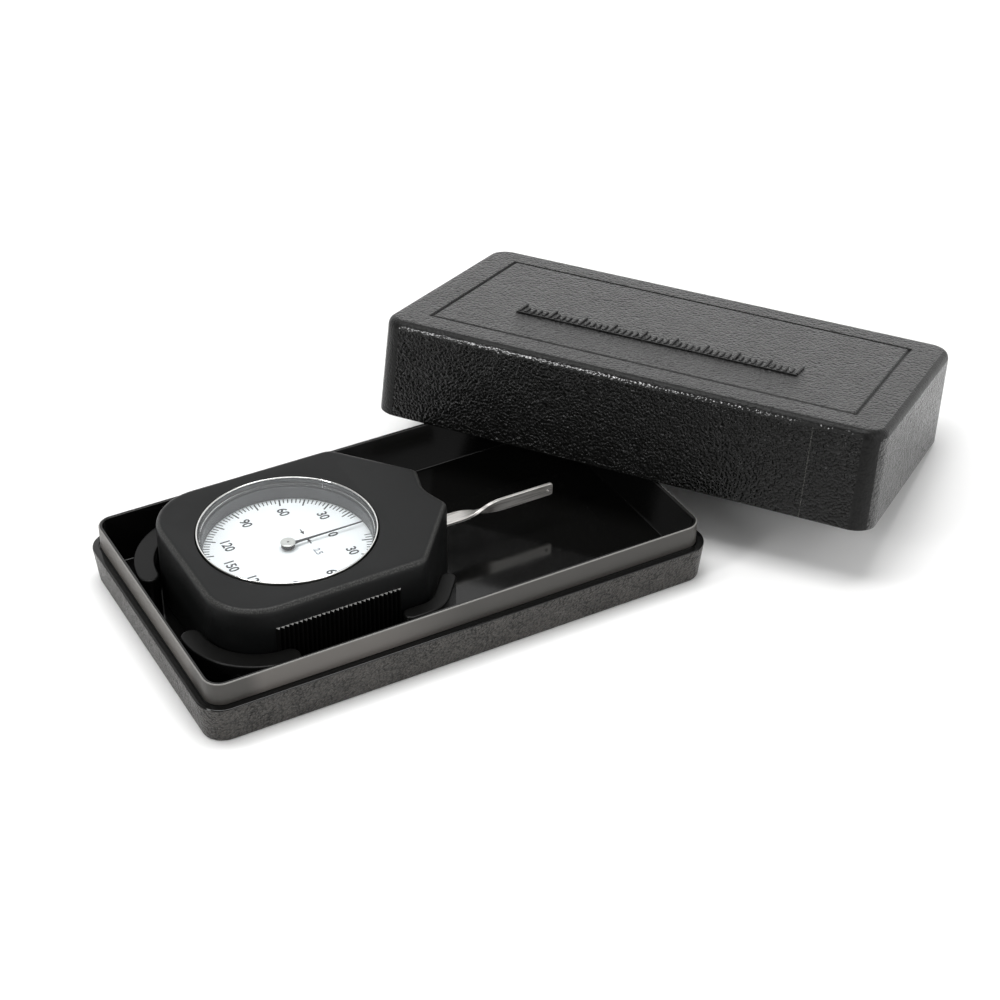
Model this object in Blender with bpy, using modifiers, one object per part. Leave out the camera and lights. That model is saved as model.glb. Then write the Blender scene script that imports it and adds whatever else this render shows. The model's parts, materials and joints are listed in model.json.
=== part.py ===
"""Dial tension gauge in its fitted two-piece case.

The tray lies flat and holds the gauge between four moulded cradle walls. The lid, taken
off, leans on the tray's rim. The feeler swings in the plane of the dial, and a toothed
sector on its arbor turns the pointer.

Lengths are in metres. The origin is the centre of the tray's underside, +X runs along
the tray towards the feeler's tip, +Y is the back and +Z is up.
"""

import math

import bmesh
import bpy
from mathutils import Matrix, Vector

# Fits and steps shared by every piece
GAP = 0.0003  # clearance between pieces that touch
RUNNING_GAP = 0.00015  # radial clearance of a turning pivot
OVERRUN = 0.0010  # how far a cutter passes the face that it cuts
WELD = 0.000001  # points closer than this are one point
LEAST_RADIUS = 0.0006  # smallest radius of a rounded corner
EDGE_BREAK = 0.0003  # chamfer on moulded and turned edges
ROUND_SIDES = 64  # sides of the circles round the dial
SMALL_SIDES = 12  # sides of pins, screws and shafts
POINTER_SIDES = 24  # sides of the pointer's boss and cap, which show
CORNER_STEPS = 6  # straight steps in a rounded corner
FILLET_STEPS = 3  # straight steps in a rounded edge

# Case tray: a textured lower body, a ledge, and a smooth thin rim that enters the lid
TRAY_LENGTH = 0.1500
TRAY_WIDTH = 0.0856
TRAY_CORNER = 0.0070
LEDGE_HEIGHT = 0.0110
RIM_HEIGHT = 0.01756
TRAY_DRAFT = 0.0011
FOOT_BEVEL = 0.0006
RIM_INSET = 0.0023
RIM_WALL = 0.00105
TRAY_FLOOR = 0.0022

# Cradle walls that stand on the tray's floor round the gauge's corners
CRADLE_HEIGHT = 0.0140
CRADLE_RIB_GAP = 0.00035  # from a wall to the crests of the grip ribs
CRADLE_BACK_WALL = 0.0056
CRADLE_FRONT_WALL = 0.0044
CRADLE_SIDE_RUN = 0.0040  # how far a front wall follows the gauge's long side
CRADLE_NOSE_RUN = 0.0076  # how far a front wall follows the nose's slant

# Case lid, and how it leans
LID_HEIGHT = 0.0290
LID_WALL = 0.0019
LID_TOP = 0.0020
LID_DRAFT = 0.0004
LID_FILLET = 0.0024
LID_MOUTH_CHAMFER = 0.0009
PANEL_MARGIN = 0.0105
PANEL_GROOVE = 0.0012
PANEL_DEPTH = 0.0004
LID_EDGE_SETBACK = 0.0117  # middle of the lid's front edge, in from the tray's end
LID_EDGE_Y = -0.0072
LID_TURN_DEGREES = -53.0

# Gauge housing, round a dial whose well sets the width
GAUGE_SETBACK = 0.0120  # from the tray's end to the gauge's back end
SIDE_MARGIN = 0.00535  # body outside the well on each long side
BACK_MARGIN = 0.00585  # body outside the well at the back end
SHOULDER_X = 0.0261
NOSE_X = 0.0432
NOSE_HALF = 0.0090
NOSE_HOLLOW_X = 0.0406  # where the nose's two faces would meet in the finger hollow
BACK_CORNER = 0.0150
SHOULDER_CORNER = 0.0050
NOSE_CORNER = 0.0025
NOSE_HOLLOW_RADIUS = 0.0093
BODY_FILLET = 0.0014
BODY_WALL = 0.0022
BODY_TOP = 0.0025

# Finger grips: upright ribs on both long sides
GRIP_START = -0.0170
GRIP_LENGTH = 0.0355
GRIP_BOTTOM = 0.0025
GRIP_TOP = 0.0178
RIB_COUNT = 28
RIB_DEPTH = 0.0009
RIB_LAND = 0.0001

# Dial stack: bezel ring, crystal, recess ring and dial
BEZEL_RADIUS = 0.02405
BEZEL_PROUD = 0.0004
BEZEL_WALL = 0.0004
BEZEL_SEAT = 0.0007  # thickness of the inner flange under the crystal
BEZEL_FLANGE = 0.0006  # how far that flange reaches inwards
CRYSTAL_THICKNESS = 0.0010
BEZEL_HEIGHT = 0.0023
RECESS_WALL = 0.00145
RECESS_HEIGHT = 0.0037
DIAL_THICKNESS = 0.0010
DIAL_EYE = 0.0013
SHELF_THICKNESS = 0.0013
SHELF_WIDTH = 0.00255
WELL_WALL = 0.0019

# Rear cover and its screws
COVER_THICKNESS = 0.0020
COVER_LIP = 0.0011  # housing wall left outside the cover
COVER_HEAD_RADIUS = 0.0022
COVER_HEAD_HEIGHT = 0.0007
COVER_SHANK_RADIUS = 0.0010
COVER_SCREW_REACH = 0.0085
SCREW_SLOT_WIDTH = 0.0005
SCREW_SLOT_DEPTH = 0.0003
BOSS_RADIUS = 0.0030
BOSS_BACK_X = -0.0205
BOSS_BACK_Y = 0.0205
BOSS_FRONT_X = 0.0240
BOSS_FRONT_Y = 0.0200

# Movement frame: two plates, four pillars and their screws
PLATE_THICKNESS = 0.0012
PLATE_TO_SHELF = 0.0009
TOP_PLATE_BACK = -0.0185
TOP_PLATE_FRONT = 0.0360
TOP_PLATE_HALF = 0.0135
TOP_PLATE_CORNER = 0.0035
PILLAR_RADIUS = 0.0018
PILLAR_SPIGOT = 0.0010
PILLAR_BACK_X = -0.0100
PILLAR_BACK_Y = 0.0110
PILLAR_FRONT_X = 0.0330
PILLAR_FRONT_Y = 0.0100
PLATE_SCREW_HEAD = 0.0015
PLATE_SCREW_HEAD_HEIGHT = 0.0005
PLATE_SCREW_SHANK = 0.0006
PLATE_SCREW_REACH = 0.0035

# Gear train: one sector on the feeler's arbor and one pinion on the pointer's
GEAR_MODULE = 0.0003
PINION_TEETH = 10
SECTOR_TEETH = 180
SECTOR_SIDE_TEETH = 7  # teeth on each side of the middle one
PINION_ADDENDUM_SHARE = 0.9  # tooth heights and half widths in modules and pitches
PINION_DEDENDUM_SHARE = 1.2
SECTOR_ADDENDUM_SHARE = 0.8
SECTOR_DEDENDUM_SHARE = 1.1
TOOTH_TIP_SHARE = 0.10
TOOTH_ROOT_SHARE = 0.26
SWING_DEGREES = 9.7
SECTOR_RISE = 0.0015  # sector above the bottom plate
SECTOR_THICKNESS = 0.0012
SECTOR_HUB = 0.0032
PINION_HEIGHT = 0.0020

# Arbors, bushes and jewels
LEVER_ARBOR_RADIUS = 0.0012
LEVER_PIVOT_RADIUS = 0.0008
BUSH_WALL = 0.0011
POINTER_ARBOR_RADIUS = 0.0007
POINTER_PIVOT_RADIUS = 0.0005
JEWEL_WALL = 0.0008
COLLET_RADIUS = 0.0013
COLLET_HEIGHT = 0.0010

# Feeler, its hub and screws, measured from the lever's pivot
FEELER_WIDTH = 0.0050
FEELER_THICKNESS = 0.0009
FEELER_BACK = 0.0032
FEELER_TWIST_START = 0.0205
FEELER_TWIST_END = 0.0350
FEELER_REACH = 0.0525
FEELER_TWIST_STEPS = 14
TIP_CLIP = 0.0008
TIP_HOLE_RADIUS = 0.0005
TIP_HOLE_INSET = 0.0014
HUB_THICKNESS = 0.0014
HUB_HALF = 0.0034
HUB_TAIL = 0.0085
HUB_TAIL_HALF = 0.0018
HUB_TONGUE = 0.0095
HUB_CORNER = 0.0012
SPRING_PIN_X = 0.0070  # behind the pivot
SPRING_PIN_RADIUS = 0.0007
SPRING_PIN_DROP = 0.0020
FEELER_SCREW_HEAD = 0.0013
FEELER_SCREW_HEAD_HEIGHT = 0.0006
FEELER_SCREW_HEADROOM = 0.00095  # from the heads to the top plate
FEELER_SCREW_SHANK = 0.0006
FEELER_SCREW_FIRST = 0.0052
FEELER_SCREW_PITCH = 0.0029
SLOT_SIDE_CLEARANCE = 0.0005
SLOT_HEIGHT = 0.0019

# Measuring springs, their clamp block, the hairspring and the stops
LEAF_THICKNESS = 0.0003
LEAF_HEIGHT = 0.0013
LEAF_RISE = 0.00085  # leaves above the sector
LEAF_ANCHOR_Y = 0.0042
LEAF_PAST_PIN = 0.0016
BLOCK_X = -0.0150
BLOCK_LENGTH = 0.0070
BLOCK_WIDTH = 0.0120
BLOCK_RISE = 0.0006  # block above the leaves
BLOCK_SCREW_PITCH = 0.0034
HAIRSPRING_TURNS = 4
HAIRSPRING_STEPS = 22  # straight steps a turn
HAIRSPRING_RADIUS = 0.0058
HAIRSPRING_THICKNESS = 0.00025
HAIRSPRING_HEIGHT = 0.0006
STUD_RADIUS = 0.0006
STOP_RADIUS = 0.0008
STOP_RING = 0.0200  # from the lever's pivot to the stops
STOP_HEIGHT = 0.0032

# Pointer
POINTER_BOSS_RADIUS = 0.00185
POINTER_BOSS_HEIGHT = 0.0009
POINTER_CLEARANCE = 0.0006  # from the dial to the boss
NEEDLE_THICKNESS = 0.0003
NEEDLE_REACH = 0.0219
NEEDLE_ROOT_X = 0.0034
NEEDLE_ROOT_HALF = 0.0005
NEEDLE_TIP_HALF = 0.00015
CAP_RADIUS = 0.0020
CAP_HEIGHT = 0.0004

# Places that follow from the sizes above; heights are from the gauge's underside
WELL_RADIUS = BEZEL_RADIUS + GAP
HALF_WIDTH = WELL_RADIUS + SIDE_MARGIN
BODY_BACK = WELL_RADIUS + BACK_MARGIN
DIAL_X = GAUGE_SETBACK + BODY_BACK - TRAY_LENGTH / 2
CRADLE_CLEARANCE = RIB_DEPTH + CRADLE_RIB_GAP
SEAT_HEIGHT = TRAY_FLOOR + GAP
LEVER_X = GEAR_MODULE * (SECTOR_TEETH + PINION_TEETH) / 2
LOW_PLATE_BOTTOM = COVER_THICKNESS + GAP
LOW_PLATE_TOP = LOW_PLATE_BOTTOM + PLATE_THICKNESS
BOSS_BOTTOM = LOW_PLATE_TOP + GAP
SECTOR_BOTTOM = LOW_PLATE_TOP + SECTOR_RISE
SECTOR_TOP = SECTOR_BOTTOM + SECTOR_THICKNESS
PINION_BOTTOM = SECTOR_BOTTOM - (PINION_HEIGHT - SECTOR_THICKNESS) / 2
LEAF_BOTTOM = SECTOR_TOP + LEAF_RISE
LEAF_TOP = LEAF_BOTTOM + LEAF_HEIGHT
HAIRSPRING_BOTTOM = LEAF_TOP + BLOCK_RISE + GAP
HUB_BOTTOM = LEAF_TOP + GAP
HUB_TOP = HUB_BOTTOM + HUB_THICKNESS
FEELER_HEIGHT = HUB_TOP + GAP + FEELER_THICKNESS / 2
FEELER_SCREW_SEAT = FEELER_HEIGHT + FEELER_THICKNESS / 2 + GAP
TOP_PLATE_BOTTOM = FEELER_SCREW_SEAT + FEELER_SCREW_HEAD_HEIGHT + FEELER_SCREW_HEADROOM
TOP_PLATE_TOP = TOP_PLATE_BOTTOM + PLATE_THICKNESS
SHELF_BOTTOM = TOP_PLATE_TOP + PLATE_TO_SHELF
SHELF_TOP = SHELF_BOTTOM + SHELF_THICKNESS
DIAL_BOTTOM = SHELF_TOP + GAP
DIAL_TOP = DIAL_BOTTOM + DIAL_THICKNESS
RECESS_BOTTOM = DIAL_TOP + GAP
RECESS_TOP = RECESS_BOTTOM + RECESS_HEIGHT
BEZEL_BOTTOM = RECESS_TOP + GAP
BEZEL_TOP = BEZEL_BOTTOM + BEZEL_HEIGHT
BODY_HEIGHT = BEZEL_TOP - BEZEL_PROUD
POINTER_BOSS_BOTTOM = DIAL_TOP + POINTER_CLEARANCE
NEEDLE_TOP = POINTER_BOSS_BOTTOM + POINTER_BOSS_HEIGHT
CAP_BOTTOM = NEEDLE_TOP + GAP
CAP_TOP = CAP_BOTTOM + CAP_HEIGHT


# Making pieces


def start_empty_scene():
    for item in list(bpy.data.objects):
        bpy.data.objects.remove(item, do_unlink=True)
    for name in ("dial_tension_gauge", "cutters"):
        group = bpy.data.collections.get(name) or bpy.data.collections.new(name)
        if group.name not in bpy.context.scene.collection.children:
            bpy.context.scene.collection.children.link(group)


def finish(name, colour, roughness, metallic=0.0, alpha=1.0):
    """A plain material for one kind of surface."""
    surface = bpy.data.materials.new(name)
    surface.use_nodes = True
    shader = surface.node_tree.nodes["Principled BSDF"]
    shader.inputs["Base Color"].default_value = (*colour, 1.0)
    shader.inputs["Roughness"].default_value = roughness
    shader.inputs["Metallic"].default_value = metallic
    shader.inputs["Alpha"].default_value = alpha
    return surface


def object_from(name, mesh):
    """A new object in the part's collection that takes over a bmesh."""
    data = bpy.data.meshes.new(name)
    mesh.to_mesh(data)
    mesh.free()
    piece = bpy.data.objects.new(name, data)
    bpy.data.collections["dial_tension_gauge"].objects.link(piece)
    return piece


def seat(piece, surface, parent=None, place=(0, 0, 0)):
    """Gives a piece its material, its parent and its place on it."""
    piece.data.materials.clear()
    piece.data.materials.append(surface)
    piece.parent = parent
    piece.location = place
    return piece


def hide_as_cutter(tool):
    bpy.data.collections["dial_tension_gauge"].objects.unlink(tool)
    bpy.data.collections["cutters"].objects.link(tool)
    tool.hide_render = True
    tool.display_type = "WIRE"


def combine(piece, tool, operation):
    modifier = piece.modifiers.new(tool.name, "BOOLEAN")
    modifier.operation = operation
    modifier.solver = "EXACT"
    modifier.object = tool
    tool.parent = piece
    hide_as_cutter(tool)


def cut(piece, tool):
    combine(piece, tool, "DIFFERENCE")


def add(piece, tool):
    combine(piece, tool, "UNION")


# Outlines


def crossing(first, first_way, second, second_way):
    """Where two lines of a plane meet."""
    share = (second - first).cross(second_way) / first_way.cross(second_way)
    return first + first_way * share


def outline(corners, inset=0.0):
    """A closed outline with rounded corners, moved inwards by inset.

    corners holds (x, y, radius), anticlockwise. The radius of an outward corner shrinks
    with the inset and that of an inward one grows, so that walls stay even.
    """
    places = [Vector((x, y)) for x, y, radius in corners]
    sides = []
    for start, end in zip(places, places[1:] + places[:1]):
        way = (end - start).normalized()
        sides.append((start + Vector((-way.y, way.x)) * inset, way))
    ring = []
    for index, corner in enumerate(corners):
        before, way_in = sides[index - 1]
        after, way_out = sides[index]
        meeting = crossing(before, way_in, after, way_out)
        bend = math.copysign(1, way_in.cross(way_out))
        turn = math.acos(way_in.dot(way_out))
        radius = max(corner[2] - bend * inset, LEAST_RADIUS)
        start = meeting - way_in * radius * math.tan(turn / 2)
        centre = start + Vector((-way_in.y, way_in.x)) * radius * bend
        for step in range(CORNER_STEPS + 1):
            spin = Matrix.Rotation(bend * turn * step / CORNER_STEPS, 2)
            ring.append(centre + spin @ (start - centre))
    return ring


def rectangle(length, width, radius, x=0.0, y=0.0):
    """Corners of a rounded rectangle round (x, y), anticlockwise."""
    ways = ((1, -1), (1, 1), (-1, 1), (-1, -1))
    return [(x + a * length / 2, y + b * width / 2, radius) for a, b in ways]


def circle(radius, sides=SMALL_SIDES, x=0.0, y=0.0):
    turns = [2 * math.pi * index / sides for index in range(sides)]
    return [Vector((x + radius * math.cos(turn), y + radius * math.sin(turn))) for turn in turns]


def arc(x, y, radius, start, end, steps):
    turns = [start + (end - start) * index / steps for index in range(steps + 1)]
    return [Vector((x + radius * math.cos(turn), y + radius * math.sin(turn))) for turn in turns]


def band(path, width):
    """The outline of a strip of even width along a path, with round ends."""
    left, right = [], []
    for index, place in enumerate(path):
        way = path[min(index + 1, len(path) - 1)] - path[max(index - 1, 0)]
        across = Vector((-way.y, way.x)).normalized() * width / 2
        left.append(place + across)
        right.append(place - across)
    ends = []
    for place, rim in ((path[-1], right[-1]), (path[0], left[0])):
        reach = rim - place
        spins = [math.pi * step / CORNER_STEPS for step in range(1, CORNER_STEPS)]
        ends.append([place + Matrix.Rotation(spin, 2) @ reach for spin in spins])
    return right + ends[0] + left[::-1] + ends[1]


def straight_strip(start, end, width):
    way = (end - start).normalized()
    across = Vector((-way.y, way.x)) * width / 2
    return [start - across, end - across, end + across, start + across]


def toothed(teeth, first, last, middle, addendum, dedendum):
    """The toothed edge of a gear from tooth first to tooth last, tooth 0 at middle."""
    pitch = 2 * math.pi / teeth
    tip = GEAR_MODULE * (teeth / 2 + addendum)
    root = GEAR_MODULE * (teeth / 2 - dedendum)
    shape = ((root, -TOOTH_ROOT_SHARE), (tip, -TOOTH_TIP_SHARE), (tip, TOOTH_TIP_SHARE), (root, TOOTH_ROOT_SHARE))
    edge = []
    for tooth in range(first, last + 1):
        for radius, share in shape:
            turn = middle + (tooth + share) * pitch
            edge.append(Vector((radius * math.cos(turn), radius * math.sin(turn))))
    return edge


# Solids


def tiers(name, rings):
    """A closed solid through rings of (outline, height) that have as many points each."""
    mesh = bmesh.new()
    loops = [[mesh.verts.new((*place, height)) for place in ring] for ring, height in rings]
    for low, high in zip(loops, loops[1:]):
        for index in range(len(low)):
            mesh.faces.new((low[index - 1], low[index], high[index], high[index - 1]))
    mesh.faces.new(loops[0][::-1])
    mesh.faces.new(loops[-1])
    bmesh.ops.recalc_face_normals(mesh, faces=mesh.faces)
    return object_from(name, mesh)


def slab(name, loops, bottom, top):
    """A flat plate whose edge is the first loop and whose holes are the others."""
    curve = bpy.data.curves.new(name, "CURVE")
    curve.dimensions = "2D"
    curve.fill_mode = "BOTH"
    curve.extrude = (top - bottom) / 2
    for loop in loops:
        spline = curve.splines.new("POLY")
        spline.points.add(len(loop) - 1)
        spline.use_cyclic_u = True
        for point, place in zip(spline.points, loop):
            point.co = (*place, 0, 1)
    flat = bpy.data.objects.new(name, curve)
    bpy.context.scene.collection.objects.link(flat)
    bpy.context.view_layer.update()
    seen = bpy.context.evaluated_depsgraph_get()
    filled = bpy.data.meshes.new_from_object(flat.evaluated_get(seen))
    bpy.data.objects.remove(flat, do_unlink=True)
    mesh = bmesh.new()
    mesh.from_mesh(filled)
    bmesh.ops.remove_doubles(mesh, verts=mesh.verts, dist=WELD)
    bmesh.ops.translate(mesh, verts=mesh.verts, vec=(0, 0, (top + bottom) / 2))
    bmesh.ops.recalc_face_normals(mesh, faces=mesh.faces)
    return object_from(name, mesh)


def turned(name, profile, sides=SMALL_SIDES, place=(0, 0, 0), ring=False):
    """A lathe-turned solid. profile holds (radius, height), down the outer side.

    A ring's profile is closed, and any other starts and ends on the axis.
    """
    places = [(radius, 0, height) for radius, height in profile]
    edges = [(index, index + 1) for index in range(len(places) - 1)]
    if ring:
        edges.append((len(places) - 1, 0))
    data = bpy.data.meshes.new(name)
    data.from_pydata(places, edges, [])
    piece = bpy.data.objects.new(name, data)
    bpy.data.collections["dial_tension_gauge"].objects.link(piece)
    screw = piece.modifiers.new("Turn", "SCREW")
    screw.steps = screw.render_steps = sides
    screw.use_merge_vertices = True
    screw.merge_threshold = WELD
    piece.location = place
    return piece


def pin(name, radius, bottom, top, x=0.0, y=0.0, sides=SMALL_SIDES):
    profile = ((0, top), (radius, top), (radius, bottom), (0, bottom))
    return turned(name, profile, sides, (x, y, 0))


def washer(name, outer, inner, bottom, top, x=0.0, y=0.0, sides=SMALL_SIDES):
    profile = ((outer, top), (outer, bottom), (inner, bottom), (inner, top))
    return turned(name, profile, sides, (x, y, 0), ring=True)


def fillet_rings(corners, inset, top, radius):
    """Rings of a rounded top edge, from the wall up to the flat."""
    rings = []
    for step in range(FILLET_STEPS + 1):
        turn = math.pi / 2 * step / FILLET_STEPS
        moved = inset + radius * (1 - math.cos(turn))
        rings.append((outline(corners, moved), top - radius + radius * math.sin(turn)))
    return rings


def slotted_screw(name, head, head_height, shank, reach, under_head, up):
    """A cheese-head screw whose shank runs away from the head, with one driver slot.

    under_head is the height of the head's underside. up says that the head is on top.
    """
    way = 1 if up else -1
    end = under_head - way * reach
    top = under_head + way * head_height
    profile = [(0, top), (head, top), (head, under_head), (shank, under_head), (shank, end), (0, end)]
    screw = turned(name, profile if up else profile[::-1])
    low = top - SCREW_SLOT_DEPTH if up else top - OVERRUN
    high = top + OVERRUN if up else top + SCREW_SLOT_DEPTH
    end = Vector((head + OVERRUN, 0))
    groove = slab(name + "_slot", [straight_strip(-end, end, SCREW_SLOT_WIDTH)], low, high)
    cut(screw, groove)
    return screw


def add_screws(name, places, metal, parent, head, head_height, shank, reach, under_head, up=True):
    """Like screws at several places, numbered from 1."""
    for index, (x, y) in enumerate(places):
        screw = slotted_screw(f"{name}_{index + 1}", head, head_height, shank, reach, under_head, up)
        seat(screw, metal, parent, (x, y, 0))


def drill(piece, places, radius, bottom, top, sides=SMALL_SIDES):
    """Upright round holes through a piece, in its parent's frame."""
    for index, (x, y) in enumerate(places):
        cut(piece, pin(f"{piece.name}_hole_{len(piece.modifiers)}_{index}", radius, bottom, top, x, y, sides))


# Case


def tray_corners():
    return rectangle(TRAY_LENGTH, TRAY_WIDTH, TRAY_CORNER)


def body_corners():
    """The gauge's outline round the dial's centre, seen from above."""
    return [
        (NOSE_HOLLOW_X, 0, NOSE_HOLLOW_RADIUS),
        (NOSE_X, NOSE_HALF, NOSE_CORNER),
        (SHOULDER_X, HALF_WIDTH, SHOULDER_CORNER),
        (-BODY_BACK, HALF_WIDTH, BACK_CORNER),
        (-BODY_BACK, -HALF_WIDTH, BACK_CORNER),
        (SHOULDER_X, -HALF_WIDTH, SHOULDER_CORNER),
        (NOSE_X, -NOSE_HALF, NOSE_CORNER),
    ]


def back_cradle_path():
    """Middle line of the wall round the gauge's back corner on the -Y side."""
    radius = BACK_CORNER + CRADLE_CLEARANCE + CRADLE_BACK_WALL / 2
    x, y = BACK_CORNER - BODY_BACK, BACK_CORNER - HALF_WIDTH
    return arc(x, y, radius, math.pi, 3 * math.pi / 2, 2 * CORNER_STEPS)


def front_cradle_path():
    """Middle line of the wall round the gauge's shoulder on the -Y side."""
    offset = CRADLE_CLEARANCE + CRADLE_FRONT_WALL / 2
    ring = outline(body_corners(), -offset)
    shoulder = ring[5 * (CORNER_STEPS + 1) : 6 * (CORNER_STEPS + 1)]
    slant = Vector((NOSE_X - SHOULDER_X, HALF_WIDTH - NOSE_HALF)).normalized()
    start = shoulder[0] - Vector((CRADLE_SIDE_RUN, 0))
    return [start] + shoulder + [shoulder[-1] + slant * CRADLE_NOSE_RUN]


def make_tray(plastic):
    corners = tray_corners()
    inner = RIM_INSET + RIM_WALL
    half_break = RIM_WALL / 4
    rings = [
        (outline(corners, TRAY_DRAFT + FOOT_BEVEL), 0),
        (outline(corners, TRAY_DRAFT), FOOT_BEVEL),
        (outline(corners), LEDGE_HEIGHT - EDGE_BREAK),
        (outline(corners, EDGE_BREAK), LEDGE_HEIGHT),
        (outline(corners, RIM_INSET), LEDGE_HEIGHT),
        (outline(corners, RIM_INSET), RIM_HEIGHT - half_break),
        (outline(corners, RIM_INSET + half_break), RIM_HEIGHT),
        (outline(corners, inner - half_break), RIM_HEIGHT),
        (outline(corners, inner), RIM_HEIGHT - half_break),
        (outline(corners, inner), TRAY_FLOOR),
    ]
    tray = seat(tiers("case_tray", rings), plastic)
    cradles = (("back", back_cradle_path(), CRADLE_BACK_WALL), ("front", front_cradle_path(), CRADLE_FRONT_WALL))
    for label, path, thickness in cradles:
        for side in (1, -1):
            line = [Vector((place.x + DIAL_X, place.y * side)) for place in path]
            wide = band(line, thickness)
            narrow = band(line, thickness - 2 * EDGE_BREAK)
            heights = (TRAY_FLOOR / 2, CRADLE_HEIGHT - EDGE_BREAK, CRADLE_HEIGHT)
            wall = tiers(f"cradle_{label}_{side}", list(zip((wide, wide, narrow), heights)))
            add(tray, wall)
    return tray


def lid_tilt():
    """How far the lid leans: its front edge lies on the rim and its back edge on the table."""
    drop_share = (LID_WALL - LID_MOUTH_CHAMFER) / TRAY_WIDTH
    return math.asin((RIM_HEIGHT + GAP) / (1 - drop_share) / TRAY_WIDTH)


def make_lid(plastic):
    tilt = lid_tilt()
    rest = bpy.data.objects.new("lid_rest", None)
    bpy.data.collections["cutters"].objects.link(rest)
    turn = math.radians(LID_TURN_DEGREES)
    edge = Vector((TRAY_LENGTH / 2 - LID_EDGE_SETBACK, LID_EDGE_Y))
    middle = edge + Matrix.Rotation(turn, 2) @ Vector((0, TRAY_WIDTH / 2 * math.cos(tilt)))
    rest.location = (*middle, TRAY_WIDTH / 2 * math.sin(tilt))
    rest.rotation_euler = (-tilt, 0, turn)
    corners = rectangle(TRAY_LENGTH, TRAY_WIDTH, TRAY_CORNER)
    ceiling = LID_HEIGHT - LID_TOP
    groove = PANEL_MARGIN + PANEL_GROOVE
    rings = [
        (outline(corners, LID_WALL + LID_DRAFT + LID_FILLET), ceiling),
        (outline(corners, LID_WALL + LID_DRAFT), ceiling - LID_FILLET),
        (outline(corners, LID_WALL), LID_MOUTH_CHAMFER),
        (outline(corners, LID_WALL - LID_MOUTH_CHAMFER), 0),
        (outline(corners, EDGE_BREAK), 0),
        (outline(corners), EDGE_BREAK),
    ]
    rings += fillet_rings(corners, LID_DRAFT, LID_HEIGHT, LID_FILLET)
    rings += [
        (outline(corners, PANEL_MARGIN), LID_HEIGHT),
        (outline(corners, PANEL_MARGIN + PANEL_DEPTH), LID_HEIGHT - PANEL_DEPTH),
        (outline(corners, groove), LID_HEIGHT - PANEL_DEPTH),
        (outline(corners, groove + PANEL_DEPTH), LID_HEIGHT),
    ]
    return seat(tiers("case_lid", rings), plastic, rest)


# Housing


def boss_places():
    """Where the rear cover's four screws enter the housing."""
    return [
        (x, y * side)
        for x, y in ((BOSS_BACK_X, BOSS_BACK_Y), (BOSS_FRONT_X, BOSS_FRONT_Y))
        for side in (1, -1)
    ]


def grip_outline(side):
    """Zigzag of the finger ribs on one long side, with a root that enters the wall."""
    pitch = GRIP_LENGTH / RIB_COUNT
    valley = HALF_WIDTH + RIB_LAND
    crest = HALF_WIDTH + RIB_DEPTH
    edge = []
    for rib in range(RIB_COUNT):
        edge.append(Vector((GRIP_START + pitch * rib, valley * side)))
        edge.append(Vector((GRIP_START + pitch * (rib + 0.5), crest * side)))
    edge.append(Vector((GRIP_START + GRIP_LENGTH, valley * side)))
    root = (HALF_WIDTH - BODY_WALL / 2) * side
    return edge + [Vector((GRIP_START + GRIP_LENGTH, root)), Vector((GRIP_START, root))]


def make_housing(plastic, gauge):
    corners = body_corners()
    rings = [(outline(corners, EDGE_BREAK), 0), (outline(corners), EDGE_BREAK)]
    rings += fillet_rings(corners, 0, BODY_HEIGHT, BODY_FILLET)
    housing = seat(tiers("gauge_housing", rings), plastic, gauge)
    rabbet = COVER_THICKNESS + GAP
    hollow = [
        (outline(corners, COVER_LIP), -OVERRUN),
        (outline(corners, COVER_LIP), rabbet),
        (outline(corners, BODY_WALL), rabbet),
        (outline(corners, BODY_WALL), BODY_HEIGHT - BODY_TOP),
    ]
    cut(housing, tiers("housing_hollow", hollow))
    under_top = BODY_HEIGHT - BODY_TOP / 2
    tube = pin("dial_well", WELL_RADIUS + WELL_WALL, SHELF_BOTTOM, under_top, sides=ROUND_SIDES)
    add(housing, tube)
    for index, (x, y) in enumerate(boss_places()):
        add(housing, pin(f"boss_{index}", BOSS_RADIUS, BOSS_BOTTOM, under_top, x, y))
    shelf = WELL_RADIUS - SHELF_WIDTH
    well = (
        (0, BODY_HEIGHT + OVERRUN),
        (WELL_RADIUS + EDGE_BREAK, BODY_HEIGHT + OVERRUN),
        (WELL_RADIUS + EDGE_BREAK, BODY_HEIGHT),
        (WELL_RADIUS, BODY_HEIGHT - EDGE_BREAK),
        (WELL_RADIUS, SHELF_TOP),
        (shelf, SHELF_TOP),
        (shelf, SHELF_BOTTOM - OVERRUN),
        (0, SHELF_BOTTOM - OVERRUN),
    )
    cut(housing, turned("dial_well_bore", well, ROUND_SIDES))
    drill(housing, boss_places(), COVER_SHANK_RADIUS + GAP, BOSS_BOTTOM - OVERRUN, COVER_SCREW_REACH + OVERRUN)
    nose_reach = NOSE_X - LEVER_X
    slot_half = FEELER_WIDTH / 2 + nose_reach * math.tan(math.radians(SWING_DEGREES)) + SLOT_SIDE_CLEARANCE
    inner = Vector((NOSE_HOLLOW_X - BODY_WALL - OVERRUN, 0))
    window = straight_strip(inner, Vector((NOSE_X + OVERRUN, 0)), 2 * slot_half)
    low = FEELER_HEIGHT - SLOT_HEIGHT / 2
    cut(housing, slab("feeler_slot", [window], low, low + SLOT_HEIGHT))
    for side in (1, -1):
        edge = grip_outline(side)
        add(housing, tiers(f"grip_{side}", [(edge, GRIP_BOTTOM), (edge, GRIP_TOP)]))
    return housing


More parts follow.
